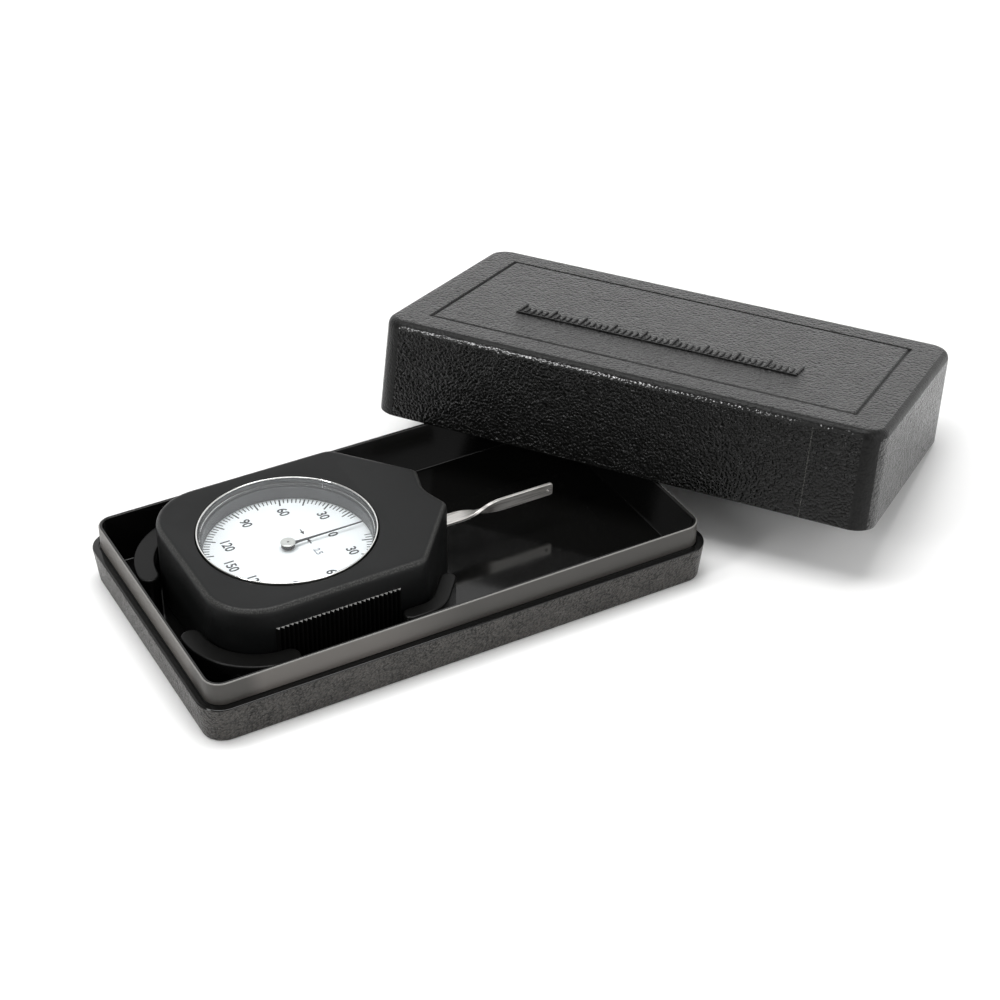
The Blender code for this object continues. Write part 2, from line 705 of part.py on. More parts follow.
def make_rear_cover(metal, gauge):
    edge = outline(body_corners(), COVER_LIP + GAP)
    cover = seat(slab("rear_cover", [edge], 0, COVER_THICKNESS), metal, gauge)
    sink = SCREW_SLOT_DEPTH + COVER_HEAD_HEIGHT
    for index, (x, y) in enumerate(boss_places()):
        stepped = (
            (0, COVER_THICKNESS + OVERRUN),
            (COVER_SHANK_RADIUS + GAP, COVER_THICKNESS + OVERRUN),
            (COVER_SHANK_RADIUS + GAP, sink),
            (COVER_HEAD_RADIUS + GAP, sink),
            (COVER_HEAD_RADIUS + GAP, -OVERRUN),
            (0, -OVERRUN),
        )
        cut(cover, turned(f"cover_hole_{index}", stepped, place=(x, y, 0)))
    return cover


def make_cover_screws(metal, gauge):
    under_head = SCREW_SLOT_DEPTH + COVER_HEAD_HEIGHT - GAP
    reach = COVER_SCREW_REACH - under_head
    sizes = (COVER_HEAD_RADIUS, COVER_HEAD_HEIGHT, COVER_SHANK_RADIUS, reach, under_head)
    add_screws("cover_screw", boss_places(), metal, gauge, *sizes, up=False)


# Dial


def make_bezel(metal, gauge):
    inner = BEZEL_RADIUS - BEZEL_WALL
    seat_height = BEZEL_BOTTOM + BEZEL_SEAT
    edge = BEZEL_WALL / 4
    profile = (
        (BEZEL_RADIUS - edge, BEZEL_TOP),
        (BEZEL_RADIUS, BEZEL_TOP - edge),
        (BEZEL_RADIUS, BEZEL_BOTTOM),
        (inner - BEZEL_FLANGE, BEZEL_BOTTOM),
        (inner - BEZEL_FLANGE, seat_height),
        (inner, seat_height),
        (inner, BEZEL_TOP - edge),
        (inner + edge, BEZEL_TOP),
    )
    return seat(turned("bezel_ring", profile, ROUND_SIDES, ring=True), metal, gauge)


def make_crystal(glass, gauge):
    radius = BEZEL_RADIUS - BEZEL_WALL - GAP
    bottom = BEZEL_BOTTOM + BEZEL_SEAT + GAP
    return seat(pin("crystal", radius, bottom, bottom + CRYSTAL_THICKNESS, sides=ROUND_SIDES), glass, gauge)


def make_recess_ring(plastic, gauge):
    sizes = (BEZEL_RADIUS, BEZEL_RADIUS - RECESS_WALL, RECESS_BOTTOM, RECESS_TOP)
    return seat(washer("recess_ring", *sizes, sides=ROUND_SIDES), plastic, gauge)


def make_dial(paint, gauge):
    sizes = (BEZEL_RADIUS, DIAL_EYE, DIAL_BOTTOM, DIAL_TOP)
    return seat(washer("dial_plate", *sizes, sides=ROUND_SIDES), paint, gauge)


# Movement frame


def pillar_places():
    return [
        (x, y * side)
        for x, y in ((PILLAR_BACK_X, PILLAR_BACK_Y), (PILLAR_FRONT_X, PILLAR_FRONT_Y))
        for side in (1, -1)
    ]


def block_screw_places():
    return [(BLOCK_X + BLOCK_SCREW_PITCH / 2 * side, 0) for side in (1, -1)]


def stop_places():
    """The two stops stand where the sector's sides meet them just past full swing."""
    outer = GEAR_MODULE * (SECTOR_TEETH / 2 - SECTOR_DEDENDUM_SHARE)
    half = (SECTOR_SIDE_TEETH + TOOTH_ROOT_SHARE) * 2 * math.pi / SECTOR_TEETH
    rim = Vector((outer * math.cos(half), outer * math.sin(half)))
    hub = Vector((0, SECTOR_HUB))
    side = hub + (rim - hub) * (STOP_RING / outer)
    reach = math.asin((STOP_RADIUS + GAP) / STOP_RING)
    turn = math.atan2(side.y, side.x) + math.radians(SWING_DEGREES) + reach
    x = LEVER_X - STOP_RING * math.cos(turn)
    y = STOP_RING * math.sin(turn)
    return [(x, y), (x, -y)]


def bush_radius():
    return LEVER_PIVOT_RADIUS + RUNNING_GAP + BUSH_WALL


def jewel_radius():
    return POINTER_PIVOT_RADIUS + RUNNING_GAP + JEWEL_WALL


def make_low_plate(metal, gauge):
    edge = outline(body_corners(), BODY_WALL + GAP)
    holes = [circle(COVER_SHANK_RADIUS + GAP, x=x, y=y) for x, y in boss_places()]
    holes += [circle(PILLAR_SPIGOT + GAP, x=x, y=y) for x, y in pillar_places()]
    holes += [circle(PLATE_SCREW_SHANK + GAP, x=x, y=y) for x, y in block_screw_places()]
    holes += [circle(STOP_RADIUS + GAP, x=x, y=y) for x, y in stop_places()]
    holes += [circle(bush_radius() + GAP, x=LEVER_X), circle(jewel_radius() + GAP)]
    return seat(slab("bottom_plate", [edge] + holes, LOW_PLATE_BOTTOM, LOW_PLATE_TOP), metal, gauge)


def make_top_plate(metal, gauge):
    length = TOP_PLATE_FRONT - TOP_PLATE_BACK
    middle = (TOP_PLATE_FRONT + TOP_PLATE_BACK) / 2
    edge = outline(rectangle(length, 2 * TOP_PLATE_HALF, TOP_PLATE_CORNER, middle))
    holes = [circle(PLATE_SCREW_SHANK + GAP, x=x, y=y) for x, y in pillar_places()]
    holes += [circle(bush_radius() + GAP, x=LEVER_X), circle(jewel_radius() + GAP)]
    holes += [circle(STUD_RADIUS + GAP, x=0, y=stud_y())]
    return seat(slab("top_plate", [edge] + holes, TOP_PLATE_BOTTOM, TOP_PLATE_TOP), metal, gauge)


def make_pillars(metal, gauge):
    shoulder = LOW_PLATE_TOP + GAP
    top = TOP_PLATE_BOTTOM - GAP
    bore = PLATE_SCREW_SHANK + GAP
    depth = PLATE_SCREW_REACH + OVERRUN
    for index, (x, y) in enumerate(pillar_places()):
        profile = (
            (0, top - depth),
            (bore, top - depth),
            (bore, top),
            (PILLAR_RADIUS, top),
            (PILLAR_RADIUS, shoulder),
            (PILLAR_SPIGOT, shoulder),
            (PILLAR_SPIGOT, LOW_PLATE_BOTTOM),
            (0, LOW_PLATE_BOTTOM),
        )
        seat(turned(f"plate_pillar_{index + 1}", profile), metal, gauge, (x, y, 0))


def make_plate_screws(metal, gauge):
    sizes = (PLATE_SCREW_HEAD, PLATE_SCREW_HEAD_HEIGHT, PLATE_SCREW_SHANK, PLATE_SCREW_REACH)
    add_screws("plate_screw", pillar_places(), metal, gauge, *sizes, TOP_PLATE_TOP + GAP)


def plate_levels():
    return {
        "lower": (LOW_PLATE_BOTTOM, LOW_PLATE_TOP),
        "upper": (TOP_PLATE_BOTTOM, TOP_PLATE_TOP),
    }


def make_bushes(brass, gauge):
    bore = LEVER_PIVOT_RADIUS + RUNNING_GAP
    for level, (low, high) in plate_levels().items():
        bush = washer(f"lever_bush_{level}", bush_radius(), bore, low, high)
        seat(bush, brass, gauge, (LEVER_X, 0, 0))


def make_jewels(ruby, gauge):
    bore = POINTER_PIVOT_RADIUS + RUNNING_GAP
    for level, (low, high) in plate_levels().items():
        seat(washer(f"pointer_jewel_{level}", jewel_radius(), bore, low, high), ruby, gauge)


def make_stops(metal, gauge):
    for index, (x, y) in enumerate(stop_places()):
        stop = pin(f"stop_pin_{index + 1}", STOP_RADIUS, LOW_PLATE_BOTTOM, LOW_PLATE_TOP + STOP_HEIGHT)
        seat(stop, metal, gauge, (x, y, 0))


# Measuring springs


def leaf_line(side):
    """Start and end of a leaf's middle line, from the clamp block past the spring pin."""
    at_pin = Vector((LEVER_X - SPRING_PIN_X, (SPRING_PIN_RADIUS + GAP + LEAF_THICKNESS / 2) * side))
    start = Vector((BLOCK_X - BLOCK_LENGTH / 2, LEAF_ANCHOR_Y * side))
    way = (at_pin - start).normalized()
    return start, at_pin + way * LEAF_PAST_PIN


def make_leaves(steel, gauge):
    for index, side in enumerate((1, -1)):
        start, end = leaf_line(side)
        strip = straight_strip(start, end, LEAF_THICKNESS)
        seat(slab(f"measuring_spring_{index + 1}", [strip], LEAF_BOTTOM, LEAF_TOP), steel, gauge)


def make_block(metal, gauge):
    edge = outline(rectangle(BLOCK_LENGTH, BLOCK_WIDTH, EDGE_BREAK, BLOCK_X))
    holes = [circle(PLATE_SCREW_SHANK + GAP, x=x, y=y) for x, y in block_screw_places()]
    top = LEAF_TOP + BLOCK_RISE
    block = seat(slab("spring_block", [edge] + holes, LOW_PLATE_TOP + GAP, top), metal, gauge)
    for index, side in enumerate((1, -1)):
        start, end = leaf_line(side)
        way = (end - start).normalized()
        strip = straight_strip(start - way * OVERRUN, end, LEAF_THICKNESS + 2 * GAP)
        cut(block, slab(f"leaf_slot_{index}", [strip], LEAF_BOTTOM - GAP, top + OVERRUN))
    return block


def make_block_screws(metal, gauge):
    under_head = LEAF_TOP + BLOCK_RISE + GAP
    reach = under_head - LOW_PLATE_BOTTOM
    sizes = (FEELER_SCREW_HEAD, PLATE_SCREW_HEAD_HEIGHT, PLATE_SCREW_SHANK, reach, under_head)
    add_screws("block_screw", block_screw_places(), metal, gauge, *sizes)


# Lever: arbor, hub, feeler and sector, all round the lever's pivot


def make_lever_arbor(steel, lever):
    low_shoulder = LOW_PLATE_TOP + GAP
    high_shoulder = TOP_PLATE_BOTTOM - GAP
    profile = (
        (0, TOP_PLATE_TOP),
        (LEVER_PIVOT_RADIUS, TOP_PLATE_TOP),
        (LEVER_PIVOT_RADIUS, high_shoulder),
        (LEVER_ARBOR_RADIUS, high_shoulder),
        (LEVER_ARBOR_RADIUS, low_shoulder),
        (LEVER_PIVOT_RADIUS, low_shoulder),
        (LEVER_PIVOT_RADIUS, LOW_PLATE_BOTTOM),
        (0, LOW_PLATE_BOTTOM),
    )
    return seat(turned("lever_arbor", profile), steel, lever)


def feeler_screw_places():
    return [(FEELER_SCREW_FIRST, 0), (FEELER_SCREW_FIRST + FEELER_SCREW_PITCH, 0)]


def make_hub(metal, lever):
    corners = [
        (-HUB_TAIL, -HUB_TAIL_HALF, HUB_CORNER),
        (-HUB_HALF, -HUB_HALF, HUB_CORNER),
        (HUB_HALF, -HUB_HALF, HUB_CORNER),
        (HUB_TONGUE, -FEELER_WIDTH / 2, HUB_CORNER),
        (HUB_TONGUE, FEELER_WIDTH / 2, HUB_CORNER),
        (HUB_HALF, HUB_HALF, HUB_CORNER),
        (-HUB_HALF, HUB_HALF, HUB_CORNER),
        (-HUB_TAIL, HUB_TAIL_HALF, HUB_CORNER),
    ]
    holes = [circle(LEVER_ARBOR_RADIUS + GAP)]
    holes += [circle(FEELER_SCREW_SHANK + GAP, x=x) for x, y in feeler_screw_places()]
    hub = seat(slab("lever_hub", [outline(corners)] + holes, HUB_BOTTOM, HUB_TOP), metal, lever)
    middle = HUB_BOTTOM + HUB_THICKNESS / 2
    add(hub, pin("spring_pin", SPRING_PIN_RADIUS, HUB_BOTTOM - SPRING_PIN_DROP, middle, -SPRING_PIN_X))
    return hub


def feeler_section(x, width, turn):
    """Four corners of the strip at x, turned about the strip's own length."""
    half, thick = width / 2, FEELER_THICKNESS / 2
    places = ((-half, -thick), (half, -thick), (half, thick), (-half, thick))
    cosine, sine = math.cos(turn), math.sin(turn)
    return [(x, a * cosine - b * sine, FEELER_HEIGHT + a * sine + b * cosine) for a, b in places]


def make_feeler(steel, lever):
    """A steel strip, flat at the hub, given a quarter twist so that its tip stands upright."""
    stations = [(-FEELER_BACK, FEELER_WIDTH, 0.0)]
    for step in range(FEELER_TWIST_STEPS + 1):
        share = step / FEELER_TWIST_STEPS
        x = FEELER_TWIST_START + (FEELER_TWIST_END - FEELER_TWIST_START) * share
        eased = share * share * (3 - 2 * share)
        stations.append((x, FEELER_WIDTH, -math.pi / 2 * eased))
    stations.append((FEELER_REACH - TIP_CLIP, FEELER_WIDTH, -math.pi / 2))
    stations.append((FEELER_REACH, FEELER_WIDTH - 2 * TIP_CLIP, -math.pi / 2))
    mesh = bmesh.new()
    loops = [[mesh.verts.new(place) for place in feeler_section(*station)] for station in stations]
    for near, far in zip(loops, loops[1:]):
        for index in range(len(near)):
            mesh.faces.new((near[index - 1], near[index], far[index], far[index - 1]))
    mesh.faces.new(loops[0])
    mesh.faces.new(loops[-1])
    bmesh.ops.recalc_face_normals(mesh, faces=mesh.faces)
    feeler = seat(object_from("feeler", mesh), steel, lever)
    low, high = FEELER_HEIGHT - OVERRUN, FEELER_HEIGHT + OVERRUN
    drill(feeler, [(0, 0)], LEVER_ARBOR_RADIUS + GAP, low, high)
    drill(feeler, feeler_screw_places(), FEELER_SCREW_SHANK + GAP, low, high)
    eye = pin("tip_hole", TIP_HOLE_RADIUS, -OVERRUN, OVERRUN)
    eye.rotation_euler = (math.pi / 2, 0, 0)
    eye.location = (FEELER_REACH - TIP_HOLE_INSET, 0, FEELER_HEIGHT)
    cut(feeler, eye)
    return feeler


def make_feeler_screws(metal, lever):
    reach = FEELER_SCREW_SEAT - HUB_BOTTOM
    sizes = (FEELER_SCREW_HEAD, FEELER_SCREW_HEAD_HEIGHT, FEELER_SCREW_SHANK, reach, FEELER_SCREW_SEAT)
    add_screws("feeler_screw", feeler_screw_places(), metal, lever, *sizes)


def make_sector(brass, lever):
    edge = toothed(
        SECTOR_TEETH, -SECTOR_SIDE_TEETH, SECTOR_SIDE_TEETH, math.pi,
        SECTOR_ADDENDUM_SHARE, SECTOR_DEDENDUM_SHARE,
    )
    hub = arc(0, 0, SECTOR_HUB, -math.pi / 2, math.pi / 2, 2 * CORNER_STEPS)
    loops = [edge + hub, circle(LEVER_ARBOR_RADIUS + GAP)]
    return seat(slab("sector_gear", loops, SECTOR_BOTTOM, SECTOR_TOP), brass, lever)


# Pointer: arbor with its pinion and collet, hairspring, needle and cap


def stud_y():
    return HAIRSPRING_RADIUS + HAIRSPRING_THICKNESS / 2 + GAP + STUD_RADIUS


def make_pointer_arbor(steel, pointer):
    low_shoulder = LOW_PLATE_TOP + GAP
    high_shoulder = TOP_PLATE_BOTTOM - GAP
    collet = HAIRSPRING_BOTTOM + HAIRSPRING_HEIGHT / 2 - COLLET_HEIGHT / 2
    profile = (
        (0, NEEDLE_TOP),
        (POINTER_PIVOT_RADIUS, NEEDLE_TOP),
        (POINTER_PIVOT_RADIUS, high_shoulder),
        (POINTER_ARBOR_RADIUS, high_shoulder),
        (POINTER_ARBOR_RADIUS, collet + COLLET_HEIGHT),
        (COLLET_RADIUS, collet + COLLET_HEIGHT),
        (COLLET_RADIUS, collet),
        (POINTER_ARBOR_RADIUS, collet),
        (POINTER_ARBOR_RADIUS, low_shoulder),
        (POINTER_PIVOT_RADIUS, low_shoulder),
        (POINTER_PIVOT_RADIUS, LOW_PLATE_BOTTOM),
        (0, LOW_PLATE_BOTTOM),
    )
    arbor = seat(turned("pointer_arbor", profile), steel, pointer)
    middle = math.pi / PINION_TEETH
    edge = toothed(PINION_TEETH, 0, PINION_TEETH - 1, middle, PINION_ADDENDUM_SHARE, PINION_DEDENDUM_SHARE)
    add(arbor, slab("pinion", [edge], PINION_BOTTOM, PINION_BOTTOM + PINION_HEIGHT))
    return arbor


def make_hairspring(steel, gauge):
    """A flat spiral from the arbor's collet to the stud on the top plate."""
    inner = COLLET_RADIUS + GAP + HAIRSPRING_THICKNESS / 2
    steps = HAIRSPRING_TURNS * HAIRSPRING_STEPS
    middle, far, near = [], [], []
    for step in range(steps + 1):
        share = step / steps
        turn = math.pi / 2 - 2 * math.pi * HAIRSPRING_TURNS * (1 - share)
        radius = inner + (HAIRSPRING_RADIUS - inner) * share
        way = Vector((math.cos(turn), math.sin(turn)))
        middle.append(way * radius)
        far.append(way * (radius + HAIRSPRING_THICKNESS / 2))
        near.append(way * (radius - HAIRSPRING_THICKNESS / 2))
    turns = zip(middle, middle[HAIRSPRING_STEPS:])
    least = min((later - earlier).length for earlier, later in turns) - HAIRSPRING_THICKNESS
    print(f"hairspring: least gap between turns {least * 1000:.2f} mm")
    edge = far + near[::-1]
    spring = slab("hairspring", [edge], HAIRSPRING_BOTTOM, HAIRSPRING_BOTTOM + HAIRSPRING_HEIGHT)
    return seat(spring, steel, gauge)


def make_stud(brass, gauge):
    stud = pin("hairspring_stud", STUD_RADIUS, HAIRSPRING_BOTTOM - GAP, TOP_PLATE_TOP, 0, 0)
    return seat(stud, brass, gauge, (0, stud_y(), 0))


def make_pointer(paint, pointer):
    """A round boss with the needle on its upper edge, both in one piece."""
    bore = POINTER_PIVOT_RADIUS + GAP
    boss = washer("pointer", POINTER_BOSS_RADIUS, bore, POINTER_BOSS_BOTTOM, NEEDLE_TOP, sides=POINTER_SIDES)
    seat(boss, paint, pointer)
    start = (POINTER_BOSS_RADIUS + POINTER_PIVOT_RADIUS + GAP) / 2
    edge = [
        Vector((start, -NEEDLE_ROOT_HALF)),
        Vector((NEEDLE_ROOT_X, -NEEDLE_ROOT_HALF)),
        Vector((NEEDLE_REACH, -NEEDLE_TIP_HALF)),
        Vector((NEEDLE_REACH, NEEDLE_TIP_HALF)),
        Vector((NEEDLE_ROOT_X, NEEDLE_ROOT_HALF)),
        Vector((start, NEEDLE_ROOT_HALF)),
    ]
    flush = NEEDLE_TOP - NEEDLE_THICKNESS / 3
    add(boss, slab("needle", [edge], flush - NEEDLE_THICKNESS, flush))
    return boss


def make_cap(metal, pointer):
    edge = CAP_HEIGHT / 3
    profile = (
        (0, CAP_TOP),
        (CAP_RADIUS - edge, CAP_TOP),
        (CAP_RADIUS, CAP_TOP - edge),
        (CAP_RADIUS, CAP_BOTTOM),
        (0, CAP_BOTTOM),
    )
    return seat(turned("pointer_cap", profile, POINTER_SIDES), metal, pointer)


# The whole


def axis_empty(name, parent, place):
    """An empty on a joint's axis, which carries the pieces that move with it."""
    empty = bpy.data.objects.new(name, None)
    bpy.data.collections["cutters"].objects.link(empty)
    empty.parent = parent
    empty.location = place
    return empty


def build():
    start_empty_scene()
    case_plastic = finish("case_plastic", (0.012, 0.012, 0.012), 0.35)
    body_plastic = finish("body_plastic", (0.028, 0.029, 0.030), 0.55)
    chrome = finish("chrome", (0.80, 0.80, 0.78), 0.12, 1.0)
    steel = finish("steel", (0.62, 0.60, 0.57), 0.22, 1.0)
    brass = finish("brass", (0.78, 0.60, 0.30), 0.30, 1.0)
    black_metal = finish("black_metal", (0.03, 0.03, 0.03), 0.40, 0.5)
    grey_ring = finish("grey_ring", (0.20, 0.20, 0.21), 0.35)
    white_paint = finish("white_paint", (0.90, 0.92, 0.93), 0.45)
    black_paint = finish("black_paint", (0.02, 0.02, 0.02), 0.40)
    ruby = finish("ruby", (0.45, 0.02, 0.06), 0.10)
    glass = finish("glass", (1.0, 1.0, 1.0), 0.02, 0.0, 0.15)
    make_tray(case_plastic)
    make_lid(case_plastic)
    gauge = axis_empty("gauge", None, (DIAL_X, 0, SEAT_HEIGHT))
    lever = axis_empty("lever", gauge, (LEVER_X, 0, 0))
    pointer = axis_empty("pointer_axis", gauge, (0, 0, 0))
    make_housing(body_plastic, gauge)
    make_rear_cover(black_metal, gauge)
    make_cover_screws(steel, gauge)
    make_bezel(chrome, gauge)
    make_crystal(glass, gauge)
    make_recess_ring(grey_ring, gauge)
    make_dial(white_paint, gauge)
    make_low_plate(brass, gauge)
    make_top_plate(brass, gauge)
    make_pillars(brass, gauge)
    make_plate_screws(steel, gauge)
    make_bushes(brass, gauge)
    make_jewels(ruby, gauge)
    make_stops(steel, gauge)
    make_leaves(steel, gauge)
    make_block(brass, gauge)
    make_block_screws(steel, gauge)
    make_lever_arbor(steel, lever)
    make_hub(brass, lever)
    make_feeler(steel, lever)
    make_feeler_screws(steel, lever)
    make_sector(brass, lever)
    make_pointer_arbor(steel, pointer)
    make_hairspring(steel, gauge)
    make_stud(brass, gauge)
    make_pointer(black_paint, pointer)
    make_cap(chrome, pointer)
    bpy.context.view_layer.update()


build()
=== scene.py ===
import json
import math

import bmesh
import bpy
from mathutils import Matrix, Vector


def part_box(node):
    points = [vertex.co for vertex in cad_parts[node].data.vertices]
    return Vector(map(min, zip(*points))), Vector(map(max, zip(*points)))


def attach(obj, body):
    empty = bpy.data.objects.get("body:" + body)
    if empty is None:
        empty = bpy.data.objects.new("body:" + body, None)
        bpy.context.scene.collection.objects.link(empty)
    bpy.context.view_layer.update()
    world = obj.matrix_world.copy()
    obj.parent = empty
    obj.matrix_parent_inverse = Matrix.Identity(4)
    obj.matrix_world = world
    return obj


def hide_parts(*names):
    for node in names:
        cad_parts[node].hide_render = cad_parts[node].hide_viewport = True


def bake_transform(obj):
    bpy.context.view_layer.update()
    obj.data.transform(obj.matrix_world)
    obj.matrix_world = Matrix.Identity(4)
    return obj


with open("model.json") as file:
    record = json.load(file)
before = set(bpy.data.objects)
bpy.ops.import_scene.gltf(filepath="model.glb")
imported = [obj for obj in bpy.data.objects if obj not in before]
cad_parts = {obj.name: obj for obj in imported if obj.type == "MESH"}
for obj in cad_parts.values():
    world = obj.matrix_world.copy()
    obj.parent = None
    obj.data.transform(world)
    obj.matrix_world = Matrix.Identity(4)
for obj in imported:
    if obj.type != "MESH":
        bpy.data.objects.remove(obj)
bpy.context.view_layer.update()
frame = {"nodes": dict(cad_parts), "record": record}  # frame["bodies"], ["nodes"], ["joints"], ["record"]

nodes = frame["nodes"]
MM = 0.001  # the sections below give sizes in millimetres

# The photographer's camera. A long lens stands about 63 cm from the tray, to the left of
# the gauge's long axis and 35 degrees above the table, and is turned half a degree.
lens_mm = 77.81
camera_azimuth = math.radians(-29.348)
camera_elevation = math.radians(35.207)
camera_roll = math.radians(0.454)
camera_distance = 0.6285
camera_aim = Vector((0.041526, 0.01758, 0))
camera_back = Vector((
    math.sin(camera_azimuth) * math.cos(camera_elevation),
    -math.cos(camera_azimuth) * math.cos(camera_elevation),
    math.sin(camera_elevation),
))
camera_right = Vector((0, 0, 1)).cross(camera_back).normalized()
camera_up = camera_back.cross(camera_right)
camera = bpy.data.objects.new("camera", bpy.data.cameras.new("camera"))
bpy.context.scene.collection.objects.link(camera)
camera.data.sensor_width = 36
camera.data.lens = lens_mm
camera.data.clip_start = 0.01
camera.matrix_world = (
    Matrix.Translation(camera_aim + camera_back * camera_distance)
    @ Matrix((camera_right, camera_up, camera_back)).transposed().to_4x4()
    @ Matrix.Rotation(camera_roll, 4, "Z")
)
bpy.context.scene.camera = camera


# The case tray, the lower half of a moulded black plastic case. Its lower body has a
# pebbled grain, the rim that enters the lid is satin, and the inside is glossy. Four
# cradle walls, moulded with the floor, hug the gauge's corners.
class Wire:
    """An output socket of a node tree, with arithmetic on its value."""

    def __init__(self, tree, socket=None):
        self.tree = tree
        self.socket = socket

    def add(self, kind, settings=None, inputs=None, output=0):
        """Adds a node: its settings, then the values or links of its inputs."""
        node = self.tree.nodes.new(kind)
        for name, value in (settings or {}).items():
            setattr(node, name, value)
        for name, value in (inputs or {}).items():
            if isinstance(value, Wire):
                self.tree.links.new(value.socket, node.inputs[name])
            else:
                node.inputs[name].default_value = value
        return Wire(self.tree, node.outputs[output])

    def maths(self, operation, *values):
        """A Math node on these values."""
        inputs = dict(enumerate(values))
        return self.add("ShaderNodeMath", {"operation": operation}, inputs)

    def __add__(self, other):
        return self.maths("ADD", self, other)

    def __sub__(self, other):
        return self.maths("SUBTRACT", self, other)

    def __rsub__(self, other):
        return self.maths("SUBTRACT", other, self)

    def __mul__(self, other):
        return self.maths("MULTIPLY", self, other)

    __radd__ = __add__
    __rmul__ = __mul__

    def between(self, low, high):
        """0 below low, 1 above high and smooth in between."""
        inputs = {"Value": self, "From Min": low, "From Max": high}
        return self.add("ShaderNodeMapRange", {"interpolation_type": "SMOOTHSTEP"}, inputs)

    def noise(self, size_mm, detail=2.0, roughness=0.5, output="Fac"):
        """Noise whose lumps are about size_mm across."""
        scale = 1 / (size_mm * MM)
        inputs = {"Vector": self, "Scale": scale, "Detail": detail, "Roughness": roughness}
        return self.add("ShaderNodeTexNoise", {}, inputs, output)

    def cells(self, size_mm, smoothness=0.4):
        """Rounded cells of about size_mm, low in their middles."""
        settings = {"feature": "SMOOTH_F1"}
        inputs = {"Vector": self, "Scale": 1 / (size_mm * MM), "Smoothness": smoothness}
        return self.add("ShaderNodeTexVoronoi", settings, inputs, "Distance")

    def turned(self, location=(0, 0, 0), rotation=(0, 0, 0), scale=(1, 1, 1)):
        """These coordinates in a frame that stands at location, turned by rotation."""
        settings = {"vector_type": "TEXTURE"}
        inputs = {"Vector": self, "Location": location, "Rotation": rotation, "Scale": scale}
        return self.add("ShaderNodeMapping", settings, inputs)

    def moved(self, noise, reach_mm):
        """These coordinates, shaken by a colour noise."""
        kind, reach = "ShaderNodeVectorMath", reach_mm * MM
        centred = self.add(kind, {"operation": "SUBTRACT"}, {0: noise, 1: (0.5, 0.5, 0.5)})
        inputs = {0: centred, 1: (reach, reach, reach), 2: self}
        return self.add(kind, {"operation": "MULTIPLY_ADD"}, inputs)

    def axis(self, letter):
        """One of these coordinates."""
        return self.add("ShaderNodeSeparateXYZ", {}, {"Vector": self}, letter)

    def blend(self, first, second):
        """Colour first where this is 0, and second where it is 1."""
        inputs = {0: self, 6: (*first, 1), 7: (*second, 1)}
        return self.add("ShaderNodeMix", {"data_type": "RGBA"}, inputs, 2)

    def bump(self, depth_mm, strength=1.0):
        """A surface relief of this height."""
        inputs = {"Height": self, "Strength": strength, "Distance": depth_mm * MM}
        return self.add("ShaderNodeBump", {}, inputs)


def finish(name, colour, roughness, **sockets):
    """A new material, its shader node and its object coordinates."""
    material = bpy.data.materials.new(name)
    material.use_nodes = True
    shader = material.node_tree.nodes["Principled BSDF"]
    shader.inputs["Base Color"].default_value = (*colour, 1)
    shader.inputs["Roughness"].default_value = roughness
    for socket, value in sockets.items():
        shader.inputs[socket.replace("_", " ")].default_value = value
    place = Wire(material.node_tree).add("ShaderNodeTexCoord", {}, {}, "Object")
    return material, shader, place


def feed(shader, **wires):
    """Links wires to the shader's sockets."""
    for socket, wire in wires.items():
        wire.tree.links.new(wire.socket, shader.inputs[socket.replace("_", " ")])


def rounded(corners, inset=0.0, steps=12):
    """An outline with rounded corners (x, y, radius), anticlockwise, moved inwards."""
    places = [Vector(corner[:2]) for corner in corners]
    sides = []
    for start, end in zip(places, places[1:] + places[:1]):
        way = (end - start).normalized()
        sides.append((start + Vector((-way.y, way.x)) * inset, way))
    ring = []
    for index, corner in enumerate(corners):
        before, way_in = sides[index - 1]
        after, way_out = sides[index]
        meeting = before + way_in * ((after - before).cross(way_out) / way_in.cross(way_out))
        bend = math.copysign(1, way_in.cross(way_out))
        turn = math.acos(way_in.dot(way_out))
        radius = max(corner[2] - bend * inset, 0.5)
        start = meeting - way_in * radius * math.tan(turn / 2)
        centre = start + Vector((-way_in.y, way_in.x)) * radius * bend
        for step in range(steps + 1):
            ring.append(centre + Matrix.Rotation(bend * turn * step / steps, 2) @ (start - centre))
    return ring


def box_corners(length, width, radius):
    """The corners of a box round the middle, anticlockwise, for rounded."""
    signs = ((1, -1), (1, 1), (-1, 1), (-1, -1))
    return [(a * length / 2, b * width / 2, radius) for a, b in signs]


def depth_in(spot, length, width, corner):
    """How far a point lies inside the outline of a rounded box."""
    x, y = abs(spot.x) - length / 2 + corner, abs(spot.y) - width / 2 + corner
    return corner - math.hypot(max(x, 0), max(y, 0)) - min(max(x, y), 0)


def eased(start, corner, end, steps=5):
    """Points of a rounded edge in a section, from start round corner to end."""
    points = []
    for step in range(steps + 1):
        share = step / steps
        weights = ((1 - share) ** 2, 2 * share * (1 - share), share**2)
        pulls = list(zip(weights, (start, corner, end)))
        points.append(tuple(sum(weight * spot[i] for weight, spot in pulls) for i in (0, 1)))
    return points


def loft(rings, mesh=None):
    """A closed skin through rings of ([(x, y), ...], z), capped at both ends."""
    mesh = mesh or bmesh.new()
    loops = [[mesh.verts.new((*place, height)) for place in ring] for ring, height in rings]
    made = []
    for low, high in zip(loops, loops[1:]):
        for index in range(len(low)):
            made.append(mesh.faces.new((low[index - 1], low[index], high[index], high[index - 1])))
    made.append(mesh.faces.new(loops[0][::-1]))
    made.append(mesh.faces.new(loops[-1]))
    bmesh.ops.recalc_face_normals(mesh, faces=made)
    return mesh


